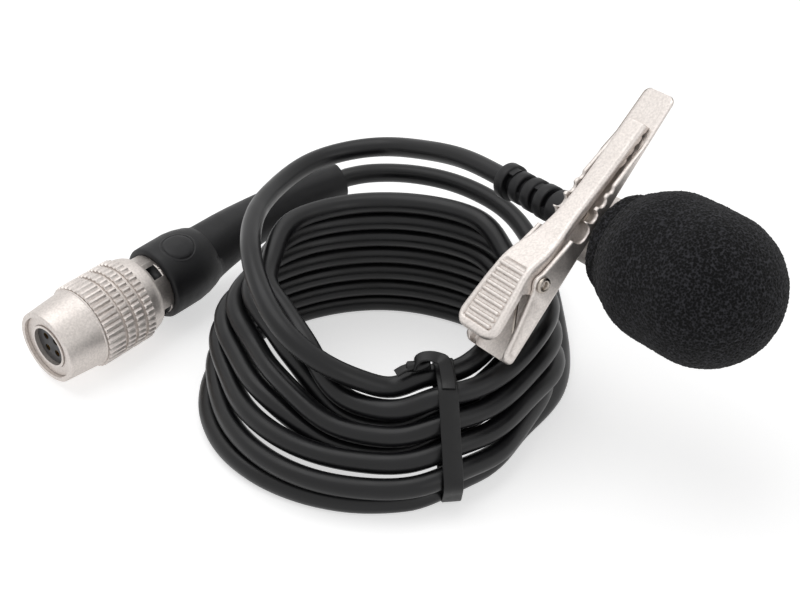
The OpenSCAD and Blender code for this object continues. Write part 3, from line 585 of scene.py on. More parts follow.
def own_copy(node, name, material, body):
    """A piece of its own in a frame part's place, with its own mesh, so that it can carry a second material such as
    painted shade.
    """
    return finished(name, frame["nodes"][node].data.copy(), material, body, replaces=(node,))


def dress(material, *nodes):
    """Gives frame parts their finish."""
    for node in nodes:
        slots = frame["nodes"][node].data.materials
        slots.clear()
        slots.append(material)


# ---- colours and materials ------------------------------------------------------------------
def linear(code):
    """sRGB hex to the linear colour that shaders take."""
    parts = [int(code[i:i + 2], 16) / 255 for i in (1, 3, 5)]
    return tuple(c / 12.92 if c <= 0.04045 else ((c + 0.055) / 1.055) ** 2.4 for c in parts) + (1.0,)


def per(size_mm):
    """Scale of a texture whose features are this many millimetres apart."""
    return 1 / (size_mm * MM)


def add(tree, kind, inputs=(), **settings):
    """A node with its settings, and its inputs set or linked."""
    made = tree.nodes.new(kind)
    for key, value in settings.items():
        setattr(made, key, value)
    for key, value in dict(inputs).items():
        if isinstance(value, bpy.types.NodeSocket):
            tree.links.new(value, made.inputs[key])
        else:
            made.inputs[key].default_value = value
    return made


def bare_tree(owner):
    """Emptied node tree of a material or a world."""
    owner.use_nodes = True
    owner.node_tree.nodes.clear()
    return owner.node_tree


def material(name, colour, inputs):
    """A material with its main shader: (material, its nodes, the shader, object coordinates)."""
    made = bpy.data.materials.new(name)
    tree = bare_tree(made)
    main = add(tree, "ShaderNodeBsdfPrincipled", {**inputs, "Base Color": colour})
    add(tree, "ShaderNodeOutputMaterial", {"Surface": main.outputs[0]})
    made.diffuse_color = colour
    return made, tree, main, add(tree, "ShaderNodeTexCoord").outputs["Object"]


def tint(colour, times=1):
    """A colour made lighter or darker, with its alpha."""
    return tuple(times * c for c in colour[:3]) + (1,)


def mottle(tree, where, size_mm, low, high):
    """A value that drifts between low and high in patches of this size."""
    cloud = add(tree, "ShaderNodeTexNoise", {"Vector": where, "Scale": per(size_mm), "Detail": 2})
    return add(tree, "ShaderNodeMapRange", {"Value": cloud.outputs["Fac"], "From Min": 0.3, "From Max": 0.7,
                                            "To Min": low, "To Max": high}).outputs["Result"]


def uneven(tree, where, size_mm, low, high, share=1):
    """A colour that drifts from one shade towards another in patches of this size."""
    return add(tree, "ShaderNodeMix", {"Factor": mottle(tree, where, size_mm, 0, share), "A": low, "B": high},
               data_type="RGBA").outputs["Result"]


def grain(tree, where, size_mm, depth_mm, strength=0.6, detail=2, **over):
    """Fine random bumps of this size and depth, on top of other bumps if they are given."""
    cloud = add(tree, "ShaderNodeTexNoise", {"Vector": where, "Scale": per(size_mm), "Detail": detail})
    return add(tree, "ShaderNodeBump", {"Height": cloud.outputs["Fac"], "Distance": depth_mm * MM,
                                        "Strength": strength, **over}).outputs["Normal"]


def link(tree, source, main, name):
    """Joins a pattern to one input of the main shader."""
    tree.links.new(source, main.inputs[name])


def pvc_jacket(look):
    """Extruded soft PVC cable jacket: nearly black, satin, with long faint draw lines and dulled patches."""
    made, tree, main, where = material("extruded_pvc_jacket", tint(look.colour), {
        "Roughness": look.gloss, "Specular IOR Level": 0.36})
    lie = add(tree, "ShaderNodeAttribute", attribute_name="lie").outputs["Vector"]
    slow = add(tree, "ShaderNodeMapping", {"Vector": lie, "Scale": (0.05, 1, 1)}).outputs["Vector"]
    # The die's draw lines and the jacket's grain are finer in life, and are drawn as wide as shows.
    drawn = grain(tree, slow, 0.35, 0.02, 0.5, 3)
    link(tree, mottle(tree, where, 5, look.gloss - 0.06, look.gloss + 0.1), main, "Roughness")
    link(tree, uneven(tree, where, 7, tint(look.colour, 0.75), tint(look.colour, 1.3)), main, "Base Color")
    link(tree, grain(tree, where, 0.12, 0.01, 0.5, Normal=drawn), main, "Normal")
    return made


def moulded_rubber(name="moulded_thermoplastic_rubber", code="#0d0d0f", roughness=0.5):
    """Moulded thermoplastic rubber: matt black with an eroded-mould grain that breaks up the light."""
    made, tree, main, where = material(name, linear(code), {"Roughness": roughness, "Specular IOR Level": 0.34})
    # The mould's grain is near 0.05 mm in life, and is drawn as wide as shows.
    link(tree, grain(tree, where, 0.16, 0.03, detail=3), main, "Normal")
    link(tree, mottle(tree, where, 3, roughness - 0.06, roughness + 0.08), main, "Roughness")
    link(tree, uneven(tree, where, 2.5, linear(code), tint(linear(code), 1.7), 0.8), main, "Base Color")
    return made


def open_cell_foam(look):
    """Open-cell polyurethane foam: soft black and slightly shiny, its cells drawn with painted shade in the pores and
    a painted sparkle on the grey walls.
    """
    made, tree, main, where = material("open_cell_polyurethane_foam", linear("#0e0e0f"), {
        "Roughness": 0.95, "Sheen Weight": 0.06, "Sheen Roughness": 0.6, "Specular IOR Level": 0.2})
    # Cell pattern: the near-black pores are painted shade in the holes, and the grey walls between them are lightened
    # to paint the foam's sparkle.
    cells = add(tree, "ShaderNodeTexVoronoi", {"Vector": where, "Scale": 1 / look.pore}).outputs["Distance"]
    cloud = add(tree, "ShaderNodeTexNoise", {"Vector": where, "Scale": 0.7 / look.pore, "Detail": 4}).outputs["Fac"]
    walls = add(tree, "ShaderNodeMath", {0: cells, 1: cloud}, operation="MULTIPLY").outputs[0]
    lit = add(tree, "ShaderNodeMapRange", {"Value": walls, "From Min": 0.2, "From Max": 0.46}).outputs["Result"]
    shade = add(tree, "ShaderNodeMix", {"Factor": lit, "A": linear("#050506"), "B": tint(look.colour)},
                data_type="RGBA").outputs["Result"]
    torn = add(tree, "ShaderNodeBump", {"Height": walls, "Distance": 0.12 * MM, "Strength": 1.0}).outputs["Normal"]
    link(tree, shade, main, "Base Color")
    link(tree, torn, main, "Normal")
    return made


def satin_plate(name, colour, roughness, grain_mm=0.2, depth_mm=0.03):
    """Blasted and plated metal: a soft satin gleam with a fine even grain and faintly uneven plating."""
    made, tree, main, where = material(name, colour, {"Metallic": 1.0, "Roughness": roughness})
    # Blasting leaves a grain near 0.05 mm, which is drawn as wide as shows.
    link(tree, grain(tree, where, grain_mm, depth_mm), main, "Normal")
    link(tree, mottle(tree, where, 2.2, roughness - 0.04, roughness + 0.06), main, "Roughness")
    link(tree, uneven(tree, where, grain_mm * 1.4, tint(colour, 0.8), colour), main, "Base Color")
    return made


def smooth_plastic(name, code, roughness=0.4):
    """Moulded or drawn plastic with a faint unevenness in its gloss."""
    made, tree, main, where = material(name, linear(code), {"Roughness": roughness, "Specular IOR Level": 0.36})
    link(tree, mottle(tree, where, 0.8, roughness - 0.05, roughness + 0.08), main, "Roughness")
    link(tree, grain(tree, where, 0.15, 0.008, 0.5), main, "Normal")
    return made


# ---- settings ----------------------------------------------------------------------------------
class CableLook(bpy.types.PropertyGroup):
    """Settings of the cable."""

    colour: FloatVectorProperty(name="Jacket colour", description="Colour of the cable's jacket", subtype="COLOR",
                                min=0, max=1, default=linear("#0c0c0e")[:3])
    gloss: FloatProperty(name="Jacket roughness", description="How dull the jacket is", default=0.34, min=0.1, max=0.9,
                         subtype="FACTOR")
    sides: IntProperty(name="Sides", description="Faces round the cable", default=16, min=8, max=32)


class FoamLook(bpy.types.PropertyGroup):
    """Settings of the windscreen."""

    # The cell walls' colour is lightened to paint the foam's sparkle.
    colour: FloatVectorProperty(name="Cell colour", description="Colour of the foam's cell walls", subtype="COLOR",
                                min=0, max=1, default=linear("#3a3a3e")[:3])
    pore: FloatProperty(name="Pore", description="Distance between pores", default=0.00028, min=0.0002, max=0.001,
                        precision=5, unit="LENGTH")
    fuzz: FloatProperty(name="Roughness of the surface", description="Height of the foam's torn cells",
                        default=0.00011, min=0, max=0.0003, precision=5, unit="LENGTH")


class ClipLook(bpy.types.PropertyGroup):
    """Settings of the tie clip."""

    ribs: IntProperty(name="Ribs", description="Pressed ribs in the thumb pad", default=9, min=5, max=11)
    colour: FloatVectorProperty(name="Plating", description="Colour of the clip's plating", subtype="COLOR",
                                min=0, max=1, default=linear("#e2dbd6")[:3])
    roughness: FloatProperty(name="Plating roughness", description="How dull the plating is", default=0.47,
                             min=0.05, max=0.9, subtype="FACTOR")


class PlugLook(bpy.types.PropertyGroup):
    """Settings of the plug."""

    colour: FloatVectorProperty(name="Nickel", description="Colour of the plug's plating", subtype="COLOR",
                                min=0, max=1, default=linear("#dbd4cf")[:3])
    roughness: FloatProperty(name="Nickel roughness", description="How dull the nickel is", default=0.48,
                             min=0.05, max=0.9, subtype="FACTOR")
    ribs: IntProperty(name="Ribs", description="Ribs round each grip band of the sleeve", default=42, min=24, max=60)


class StageLook(bpy.types.PropertyGroup):
    """Settings of the stage."""

    key: FloatProperty(name="Key light", description="Power of the overhead light", default=0.85, min=0, max=10,
                       unit="POWER")
    sky: FloatProperty(name="Room light", description="Strength of the light from all round", default=0.45, min=0,
                       max=2)


class LavalierSettings(bpy.types.PropertyGroup):
    """All settings of the microphone."""

    cable: PointerProperty(type=CableLook)
    foam: PointerProperty(type=FoamLook)
    clip: PointerProperty(type=ClipLook)
    plug: PointerProperty(type=PlugLook)
    stage: PointerProperty(type=StageLook)


# ---- operators -----------------------------------------------------------------------------------
class LAVALIER_OT_cable(bpy.types.Operator):
    """Lay the cable from the strain relief through the coil to the boot's tail"""

    bl_idname = "lavalier.cable"
    bl_label = "Cable"

    def execute(self, context):
        look = context.scene.lavalier.cable
        line = cable_line()
        shape = skin([ring_about(*spot, [CABLE_R] * look.sides) for spot in along(line)])
        piece = make("cable", shape, pvc_jacket(look), "body",
                     replaces=("cord_mic_end", "cord_coil", "cord_plug_end"))
        # Length along the cable and place across it, for the jacket's draw lines.
        lie = piece.data.attributes.new("lie", "FLOAT_VECTOR", "POINT")
        far = 0.0
        for i in range(len(line)):
            far += (line[i] - line[i - 1]).length if i else 0
            for k, p in enumerate(ring_at(far, [CABLE_R] * look.sides)):
                lie.data[i * look.sides + k].vector = p * MM
        return {"FINISHED"}


class LAVALIER_OT_windscreen(bpy.types.Operator):
    """Make the foam windscreen with its neck, bore and torn surface"""

    bl_idname = "lavalier.windscreen"
    bl_label = "Windscreen"

    def execute(self, context):
        look = context.scene.lavalier.foam
        x0, neck_l, neck_r, foam_r, length, bore_r, bore_x1 = 3.5, 2.2, 6.5, 9.4, 23.5, 4.3, 14.5
        sides, bore_step, skin_step = 300, 1.5, 0.19
        x1, neck_x1 = x0 + length, x0 + neck_l
        shoulder_in, shoulder_l, shoulder_h = 1.4, 5, 1.5
        shoulder = [(neck_x1 + shoulder_in + shoulder_l * t, foam_r - shoulder_h * (1 - t) ** 2)
                    for t in (i / 8 for i in range(9))]
        bore = [(bore_x1, 0), (bore_x1, bore_r), (x0 + 0.3, bore_r), (x0, bore_r + 0.3)]
        skirt = [(x0, neck_r - 0.5), (x0 + 0.15, neck_r - 0.15), (x0 + 0.5, neck_r), (neck_x1 - 0.3, neck_r),
                 (neck_x1, neck_r + 0.2), (neck_x1 + 0.3, foam_r - 2.2), (neck_x1 + 0.75, foam_r - 1.75)]
        ball = arc((x1 - foam_r, 0), foam_r, 90, 0, 60)[1:-1] + [(x1, 0)]
        points, faces = lathe([bore[0]] + resampled_profile(bore[1:], bore_step)
                              + resampled_profile(skirt + shoulder + ball, skin_step), sides)
        size = look.pore / MM
        for p in points:
            out = Vector((0, p.y, p.z)) if p.x < x1 - foam_r else p - Vector((x1 - foam_r, 0, 0))
            if math.hypot(p.y, p.z) > bore_r + 0.2 or p.x > bore_x1 + 1:
                torn = noise.noise(p / size) + 0.5 * noise.noise(p / (0.5 * size)) + 0.5 * noise.noise(p / 2.2)
                p += out.normalized() * torn * look.fuzz / MM
        piece = make("windscreen_foam", (points, faces), open_cell_foam(look), "windscreen", MIC,
                     ("windscreen",), sharp=180)
        return {"FINISHED"}


class LAVALIER_OT_strain_relief(bpy.types.Operator):
    """Mould the strain relief: rings with deep slots, joined by small bridges"""

    bl_idname = "lavalier.strain_relief"
    bl_label = "Strain relief"

    def execute(self, context):
        pitch, slot_w, core, lip, sides = 2.5, 0.95, CABLE_R + 0.22, 0.16, 72
        bridge_low, bridge_turn, bridge_edge = 0.22, 0.6, 0.93
        outer = (2.45, 2.15, 2.25, 2.35, 2.45)
        rows = [(RELIEF_X0, CABLE_R + 0.02, None)]
        for i, r in enumerate(outer):
            a, b = RELIEF_X0 + i * pitch, RELIEF_X0 + (i + 1) * pitch - slot_w
            b = RELIEF_X1 if i == len(outer) - 1 else b
            rows += [(a + 0.02, r - lip, None), (a + 0.07, r - lip * 0.35, None), (a + lip, r, None),
                     (b - lip, r, None), (b - 0.07, r - lip * 0.35, None), (b - 0.02, r - lip, None)]
            if b < RELIEF_X1:
                rows += [(b, r - lip, i), (b + 0.02, core, i), (b + slot_w - 0.02, core, i), (b + slot_w, core, i)]
        rows.append((RELIEF_X1, CABLE_R + 0.3, None))
        rings = []
        for x, r, slot_no in rows:
            # Bridges stand a quarter turn on from slot to slot.
            bridged = [slot_no is not None and abs(math.sin(a + math.pi / 2 * slot_no + bridge_turn)) > bridge_edge
                       for a in turns(sides)]
            rings.append(ring_at(x, [outer[slot_no] - bridge_low if there else r for there in bridged]))
        make("strain_relief_boot", skin(rings), moulded_rubber("relief_rubber"), "body", MIC,
             ("strain_relief",), sharp=40)
        return {"FINISHED"}


class LAVALIER_OT_microphone(bpy.types.Operator):
    """Finish the microphone's barrel, caps and capsule"""

    bl_idname = "lavalier.microphone"
    bl_label = "Microphone"

    def execute(self, context):
        black = satin_plate("black_anodised_aluminium", linear("#1d1d20"), 0.38, 0.08, 0.006)
        dress(black, "mic_grille")
        wall, edge, sides = 0.5, 0.1, 72
        tube = [(BARREL_X0, BARREL_R - 0.55), (BARREL_X0, BARREL_R - edge), (BARREL_X0 + edge, BARREL_R),
                (BARREL_X1 - edge, BARREL_R), (BARREL_X1, BARREL_R - edge), (BARREL_X1, BARREL_R - wall),
                (BARREL_X0 + 1, BARREL_R - wall)]
        make("mic_body", lathe(tube, sides), black, "body", MIC, ("mic_barrel",))
        cone = [(RELIEF_X1 - 0.6, 2.2), (RELIEF_X1 - 0.6, 2.6), (RELIEF_X1 - 0.45, 2.75), (BARREL_X0 - 0.12, 3.75),
                (BARREL_X0 - 0.02, 3.8), (BARREL_X0 + 0.9, 3.42), (BARREL_X0 + 0.9, 2.2)]
        make("mic_rear_cone", lathe(cone, sides), black, "body", MIC, ("mic_rear_cap",))
        dress(satin_plate("drawn_aluminium_can", linear("#c8c8ca"), 0.25, 0.1, 0.004), "mic_capsule")
        dress(moulded_rubber("gasket_rubber", "#141415", 0.6), "capsule_gasket")
        dress(smooth_plastic("solder_masked_fibreglass", "#0f3d24", 0.3), "capsule_board")
        dress(smooth_plastic("wire_insulation", "#8c1d18"), "mic_leads")
        return {"FINISHED"}


class LAVALIER_OT_clip(bpy.types.Operator):
    """Press the tie clip's two jaws and finish its holder, spring and rivets"""

    bl_idname = "lavalier.clip"
    bl_label = "Tie clip"

    def execute(self, context):
        look = context.scene.lavalier.clip
        plate = satin_plate("pearl_nickel_plated_steel", tint(look.colour), look.roughness)
        self.rear_jaw(plate)
        self.front_jaw(plate)
        finished("pad_ribs", pad_ribs(look, plate), plate, "front_jaw", MIC)
        dress(plate, "mic_holder")
        bare = satin_plate("tumbled_steel", linear("#b9b1a8"), 0.28)
        dress(bare, "holder_rivet")
        self.pin(bare)
        # The spring gets a mesh of its own, baked in place on no body.
        spring = own_copy("clip_spring", "hinge_spring", bare, None)
        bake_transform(spring)
        return {"FINISHED"}

    def web_half(self, y):
        """Half the rear jaw's width, which narrows from the grip to the tip."""
        return (WEB_W - WEB_TAPER * (y - GRIP_Y)) / 2

    def rear_jaw(self, plate):
        """Channel of sheet steel with a dished grip, a row of scallops and a rounded tongue."""
        side = [(GRIP_Y, 1.5), (GRIP_Y + 0.7, 2.1), (PIN_Y - 2.4, PIN_H + 0.35)]
        side += arc((PIN_Y, PIN_H), 1.25, 150, 40, 8) + [(-4.2, 2.9), (8, 1.1), (11, SHEET), (TIP_Y, SHEET)]
        scallops = ((-2.3, 2.7), (0.1, 1.7), (2.2, 1.5), (4.1, 1.4), (5.9, 1.2))
        grip_corner, tip_corner, dish_depth, throat = 0.8, 0.9, 0.22, 1.1
        rings = []
        for y in stations(GRIP_Y, TIP_Y, 0.12, 0.9):
            half = self.web_half(y) - (quarter(y - GRIP_Y, grip_corner) + quarter(TIP_Y - y, tip_corner))
            edge = level(side, y, 0.25)
            for middle, wide in scallops:
                if abs(y - middle) < wide / 2:
                    cut = SHEET + throat + wide / 4 - math.sqrt(wide * wide / 4 - (y - middle) ** 2)
                    edge = min(edge, max(cut, SHEET))
            back = quarter(y - GRIP_Y, 0.35) * 0.6 + quarter(TIP_Y - y, 0.25) * 0.5
            dish = dish_depth * ease((y - GRIP_Y - 0.9) / 0.6) * ease((PIN_Y - 1.2 - y) / 1.2)
            rings.append(channel_ring(y, half, back, max(edge, back + 0.1), SHEET - back, 0.55, dish))
        self.lifted("rear_jaw", rings, plate, "body", "clip_rear_jaw")

    def front_jaw(self, plate):
        """Pressing lever with a folded rim, a recessed thumb pad and a slim arm."""
        top = [(PAD_END_Y, PAD_H), (-10.4, PAD_H), (-9, 5.6), (-7.6, 4.9), (-5, 3.7), (-2, 3.1), (3, 2.4),
               (FRONT_TIP_Y, 1.75)]
        under = [(PAD_END_Y, PAD_H - 1), (PIN_Y - 2.2, PAD_H - 1), (PIN_Y - 1.5, 2.7), (PIN_Y - 0.9, 1.9),
                 (PIN_Y + 1.2, 1.9), (PIN_Y + 2.6, 2.4), (-4.4, 2.7), (0, 1.7), (FRONT_TIP_Y - 6, 1.1),
                 (FRONT_TIP_Y - 5.4, SHEET + 0.1), (FRONT_TIP_Y, SHEET + 0.1)]
        # The pad's end is rounded over the first part of its length.
        pad_end_r, pad_half = 2, 3.5
        plan = [(PAD_END_Y + pad_end_r, pad_half), (-12.2, 3.05), (-11.2, 2.85), (-9, 2.68), (-7, 2.68), (-4.8, 2.2),
                (-1.6, 1.7), (2, 1.6), (FRONT_TIP_Y, 1.65)]
        tooth_at, tooth_pitch, tooth_half, tooth_square = 1.2, 1.6, 0.42, 0.18
        recess_from, recess_to, recess_edge, recess_depth, through = 1, 9.9, 0.3, 0.3, 9
        rings = []
        for y in stations(PAD_END_Y, FRONT_TIP_Y, 0.14, 0.5):
            half = level(plan, y, 0.7) - quarter(FRONT_TIP_Y - y, 0.25)
            if y < PAD_END_Y + pad_end_r:
                half = pad_half - pad_end_r + math.sqrt(max(0, pad_end_r ** 2 - (PAD_END_Y + pad_end_r - y) ** 2))
            back = level(top, y, 0.9) - quarter(y - PAD_END_Y, 0.45) - quarter(FRONT_TIP_Y - y, 0.2)
            edge = level(under, y, 0.3) + quarter(y - PAD_END_Y, 0.25)
            for tooth in range(3):
                away = abs(y - (FRONT_TIP_Y - tooth_at - tooth_pitch * tooth))
                if away < tooth_half:
                    edge = max(edge, SHEET + math.sqrt(tooth_square - away * away))
            solid = y < PAD_END_Y + SHEET or y > FRONT_TIP_Y - SHEET
            sink = (recess_depth * ease((y - PAD_END_Y - recess_from) / recess_edge)
                    * ease((PAD_END_Y + recess_to - y) / recess_edge))
            web = through if solid else SHEET + sink * 0.5
            rings.append(channel_ring(y, half, back, edge, web, 0.5, 0, sink))
        self.lifted("front_jaw", rings, plate, "front_jaw", "clip_front_jaw")

    def lifted(self, name, rings, plate, body, node):
        """Jaw from its rings, set on the web's height."""
        up = Vector((0, 0, WEB_Z))
        shape = skin([[p + up for p in ring] for ring in rings])
        make(name, shape, plate, body, MIC, (node,), sharp=50)

    def pin(self, bare):
        """Hollow hinge rivet: a rolled head with a dimple at each end."""
        half = self.web_half(PIN_Y)
        head = [(half + 0.08, 0.6), (half + 0.1, 0.9), (half + 0.2, 1.02), (half + 0.34, 1), (half + 0.45, 0.86),
                (half + 0.48, 0.7), (half + 0.42, 0.55), (half + 0.2, 0.42), (half - 0.1, 0.36), (half - 0.15, 0)]
        profile = [(-x, r) for x, r in reversed(head)] + head
        points, faces = lathe(profile, 40)
        shift = Vector((0, PIN_Y, WEB_Z + PIN_H))
        make("hinge_rivet", ([p + shift for p in points], faces), bare, "body", MIC, ("clip_pin",))


class LAVALIER_OT_tie(bpy.types.Operator):
    """Wrap the flat tie round the bundle and wring its end"""

    bl_idname = "lavalier.tie"
    bl_label = "Tie"

    def execute(self, context):
        vinyl = smooth_plastic("calendered_vinyl_tape", "#0a0a0b", 0.42)
        turn = math.radians(TIE_TURN)
        out, side = Vector((math.cos(turn), math.sin(turn), 0)), Vector((-math.sin(turn), math.cos(turn), 0))
        band = self.band(out, side)
        make("tie_band", ribbon(band, [side] * len(band), TIE_W, TIE_T, closed=True), vinyl, "body",
             replaces=("tie_strap",), sharp=50)
        loop_w, tail_w = 1.7, 1.2
        loop, roll, tail = self.tape(TIE_LOOP, loop_w), self.roll(), self.tape(TIE_TAIL, tail_w)
        make("tie_twist", joined(loop, roll, tail), vinyl, "body", replaces=("tie_knot",), sharp=50)
        return {"FINISHED"}

    def band(self, out, side):
        """Middle line of the band, stretched round every strand that crosses it."""
        marks, last, margin, slack = [], 345, 0.4, 0.06
        for j in range(8):
            for angle in range(TIE_TURN, last, 2):
                p = turn_point(j, angle) - Vector(TIE_AT)
                if abs(p.dot(side)) < TIE_W / 2 + margin:
                    marks.append(Vector((p.dot(out), p.z)))
        reach = CABLE_R + TIE_T / 2 + slack
        outline = []
        for a in turns(120):
            d = Vector((math.cos(a), math.sin(a)))
            outline.append(max(marks, key=d.dot) + reach * d)
        outline = respaced(outline + outline[:1], 0.3)[:-1]
        for _ in range(4):
            outline = [(outline[i - 1] + 2 * p + outline[(i + 1) % len(outline)]) / 4 for i, p in enumerate(outline)]
        return [Vector(TIE_AT) + out * p.x + Vector((0, 0, max(p.y, TIE_T / 2 + 0.02))) for p in outline]

    def tape(self, rows, width):
        """Length of loose tape through rows of a point and the direction of its width."""
        return ribbon(spline([p for p, w in rows], 6), spline([w for p, w in rows], 6), width, TIE_T)

    def roll(self):
        """Wrung end of the tape: its folds wind round its length."""
        path = spline(TIE_ROLL, 14)
        roll_r, end_drop, end_share, fold, wind = 0.72, 0.2, 0.2, 0.2, 0.22
        rings = []
        for i, spot in enumerate(along(path, Vector((0, 0, 1)))):
            outwards = abs(i / (len(path) - 1) - 0.5) * 2
            full = roll_r - end_drop * max(0, outwards - (1 - end_share)) / end_share
            folds = [full * (1 - fold + fold * abs(math.cos(1.5 * a + i * wind))) for a in turns(36)]
            rings.append(ring_about(*spot, folds))
        return skin(rings)


class LAVALIER_OT_boot(bpy.types.Operator):
    """Mould the plug's rubber boot with its long bent tail and bare disc"""

    bl_idname = "lavalier.boot"
    bl_label = "Boot"

    def execute(self, context):
        start = PLUG.translation / MM
        surface = [(BOOT_X0 + 0.35, BOOT_R - 0.02), (BOOT_X0 + 1.2, BOOT_R), (BOOT_X0 + 3, BOOT_R),
                   (BOOT_X0 + 5, BOOT_R), (BOOT_X1 - 2.5, BOOT_R - 0.2), (BOOT_X1 - 1, BOOT_R - 0.6)]
        tail = spline([start + BOOT_X1 * PLUG_AXIS, *TAIL_ROUTE, TAIL_END], 8)
        n, tail_r = len(tail) - 1, BOOT_R - 1.0
        # The mouth turns in over the shell, and the tail's end turns in over the cable.
        mouth = [(BOOT_X0 + 1, 4.36), (BOOT_X0 + 0.02, 4.36), (BOOT_X0, 4.6), (BOOT_X0 + 0.08, BOOT_R - 0.18)]
        path = [start + x * PLUG_AXIS for x, r in mouth + surface] + tail + [TAIL_END + TAIL_DIR * 0.05]
        radii = [r for x, r in mouth + surface]
        radii += [tail_r + (TAIL_END_R - tail_r) * (i / n) ** 0.8 for i in range(n + 1)] + [TAIL_END_R - 0.25]
        outside = path[len(mouth):]
        spots = along([start + (BOOT_X0 - 1) * PLUG_AXIS] + outside, PLUG.to_3x3().col[2])[1:]
        spots = [(p, *spots[0][1:]) for p in path[:len(mouth)]] + spots
        rings = [ring_about(*spot, [r] * 48) for spot, r in zip(spots, radii)]
        make("boot", skin(rings), moulded_rubber(), "body", replaces=("boot_tail", "connector_boot"),
             sharp=60)
        self.disc(surface)
        return {"FINISHED"}

    def disc(self, surface):
        """Bare disc that follows the boot's curve, set off by a fine round groove."""
        heights = [(0.02, 0.15), (1.0, 0.15), (DISC_R - 0.5, 0.14), (DISC_R - 0.15, 0.12), (DISC_R - 0.04, 0.05),
                   (DISC_R, -0.02), (DISC_R + 0.12, -0.02), (DISC_R + 0.16, 0.04), (DISC_R + 0.3, 0.06),
                   (DISC_R + 0.6, -0.06), (DISC_R + 0.6, -0.5), (1.0, -0.5), (0.02, -0.5)]
        rings = []
        for rho, height in heights:
            ring = []
            for a in turns(64):
                x = BOOT_X0 + DISC_AT + rho * math.cos(a)
                turn = math.radians(DISC_TURN) + rho * math.sin(a) / BOOT_R
                r = level(surface, x) + height
                ring.append(Vector((x, -r * math.sin(turn), r * math.cos(turn))))
            rings.append(ring)
        make("bare_disc", skin(rings), moulded_rubber("disc_rubber", "#171719", 0.46), "body", PLUG,
             ("boot_disc",), sharp=60)


class LAVALIER_OT_plug(bpy.types.Operator):
    """Turn the plug's ribbed sleeve and finish its shell, insert and contacts"""

    bl_idname = "lavalier.plug"
    bl_label = "Plug"

    def execute(self, context):
        look = context.scene.lavalier.plug
        nickel = satin_plate("satin_nickel_plated_brass", tint(look.colour), look.roughness)
        dress(nickel, "shield_ring")
        # The faces inside the shell's latch windows get a near-black material: painted shade where the windows look
        # into the plug's shadowed inside.
        shell = own_copy("connector_shell", "latch_shell", nickel, "body").data
        shell.materials.append(smooth_plastic("painted_shade_latch_window", "#0c0c0d", 0.5))
        for face in shell.polygons:
            spot = PLUG.inverted() @ face.center / MM
            if WINDOW_X[0] < spot.x < WINDOW_X[1] and WINDOW_R[0] < math.hypot(spot.y, spot.z) < WINDOW_R[1]:
                face.material_index = 1
        make("pull_back_sleeve", self.sleeve(look.ribs), nickel, "sleeve", PLUG,
             ("coupling_sleeve",))
        steel = satin_plate("spring_wire", linear("#8f8b86"), 0.28)
        dress(steel, "snap_ring", "cable_clamp")
        # The spring gets a mesh of its own.
        spring = own_copy("sleeve_spring", "release_spring", steel, "body")
        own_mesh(spring)
        dress(smooth_plastic("glass_filled_insert", "#1b1c20", 0.35), "contact_insert")
        dress(satin_plate("gold_flashed_contacts", linear("#d9ab4a"), 0.25, 0.08, 0.004), "contacts")
        dress(smooth_plastic("blue_wire_insulation", "#1f4fa0"), "contact_leads")
        dress(smooth_plastic("jacket_end", "#1c1c1e", 0.45), "cable_end")
        return {"FINISHED"}

    def sleeve(self, ribs):
        """Points and faces of the sleeve: a smooth front, four ribbed bands, and a pocket for its spring."""
        rows = [(x, r, r) for x, r in SLEEVE_FRONT]
        for start, end in SLEEVE_BANDS:
            groove, edge, rib = (GROOVE_R, GROOVE_R), (VALLEY_R, CREST_R - 0.12), (VALLEY_R, CREST_R)
            slope, full = 0.02, 0.14
            rows += [(start, *groove), (start + slope, *edge), (start + full, *rib), (end - full, *rib),
                     (end - slope, *edge), (end, *groove)]
        rows += [(x, r, r) for x, r in SLEEVE_BACK + SLEEVE_BORE]
        return skin([ring_at(x, [lerp(valley, crest, h) for h in RIB_SECTION * ribs]) for x, valley, crest in rows],
                    closed=True)


class LAVALIER_OT_declare_cable(bpy.types.Operator):
    """Work out the cable's line in metres; nothing is done with it"""

    bl_idname = "lavalier.declare_cable"
    bl_label = "Cable's facts"

    def execute(self, context):
        line = [p * MM for p in cable_line()]
        return {"FINISHED"}


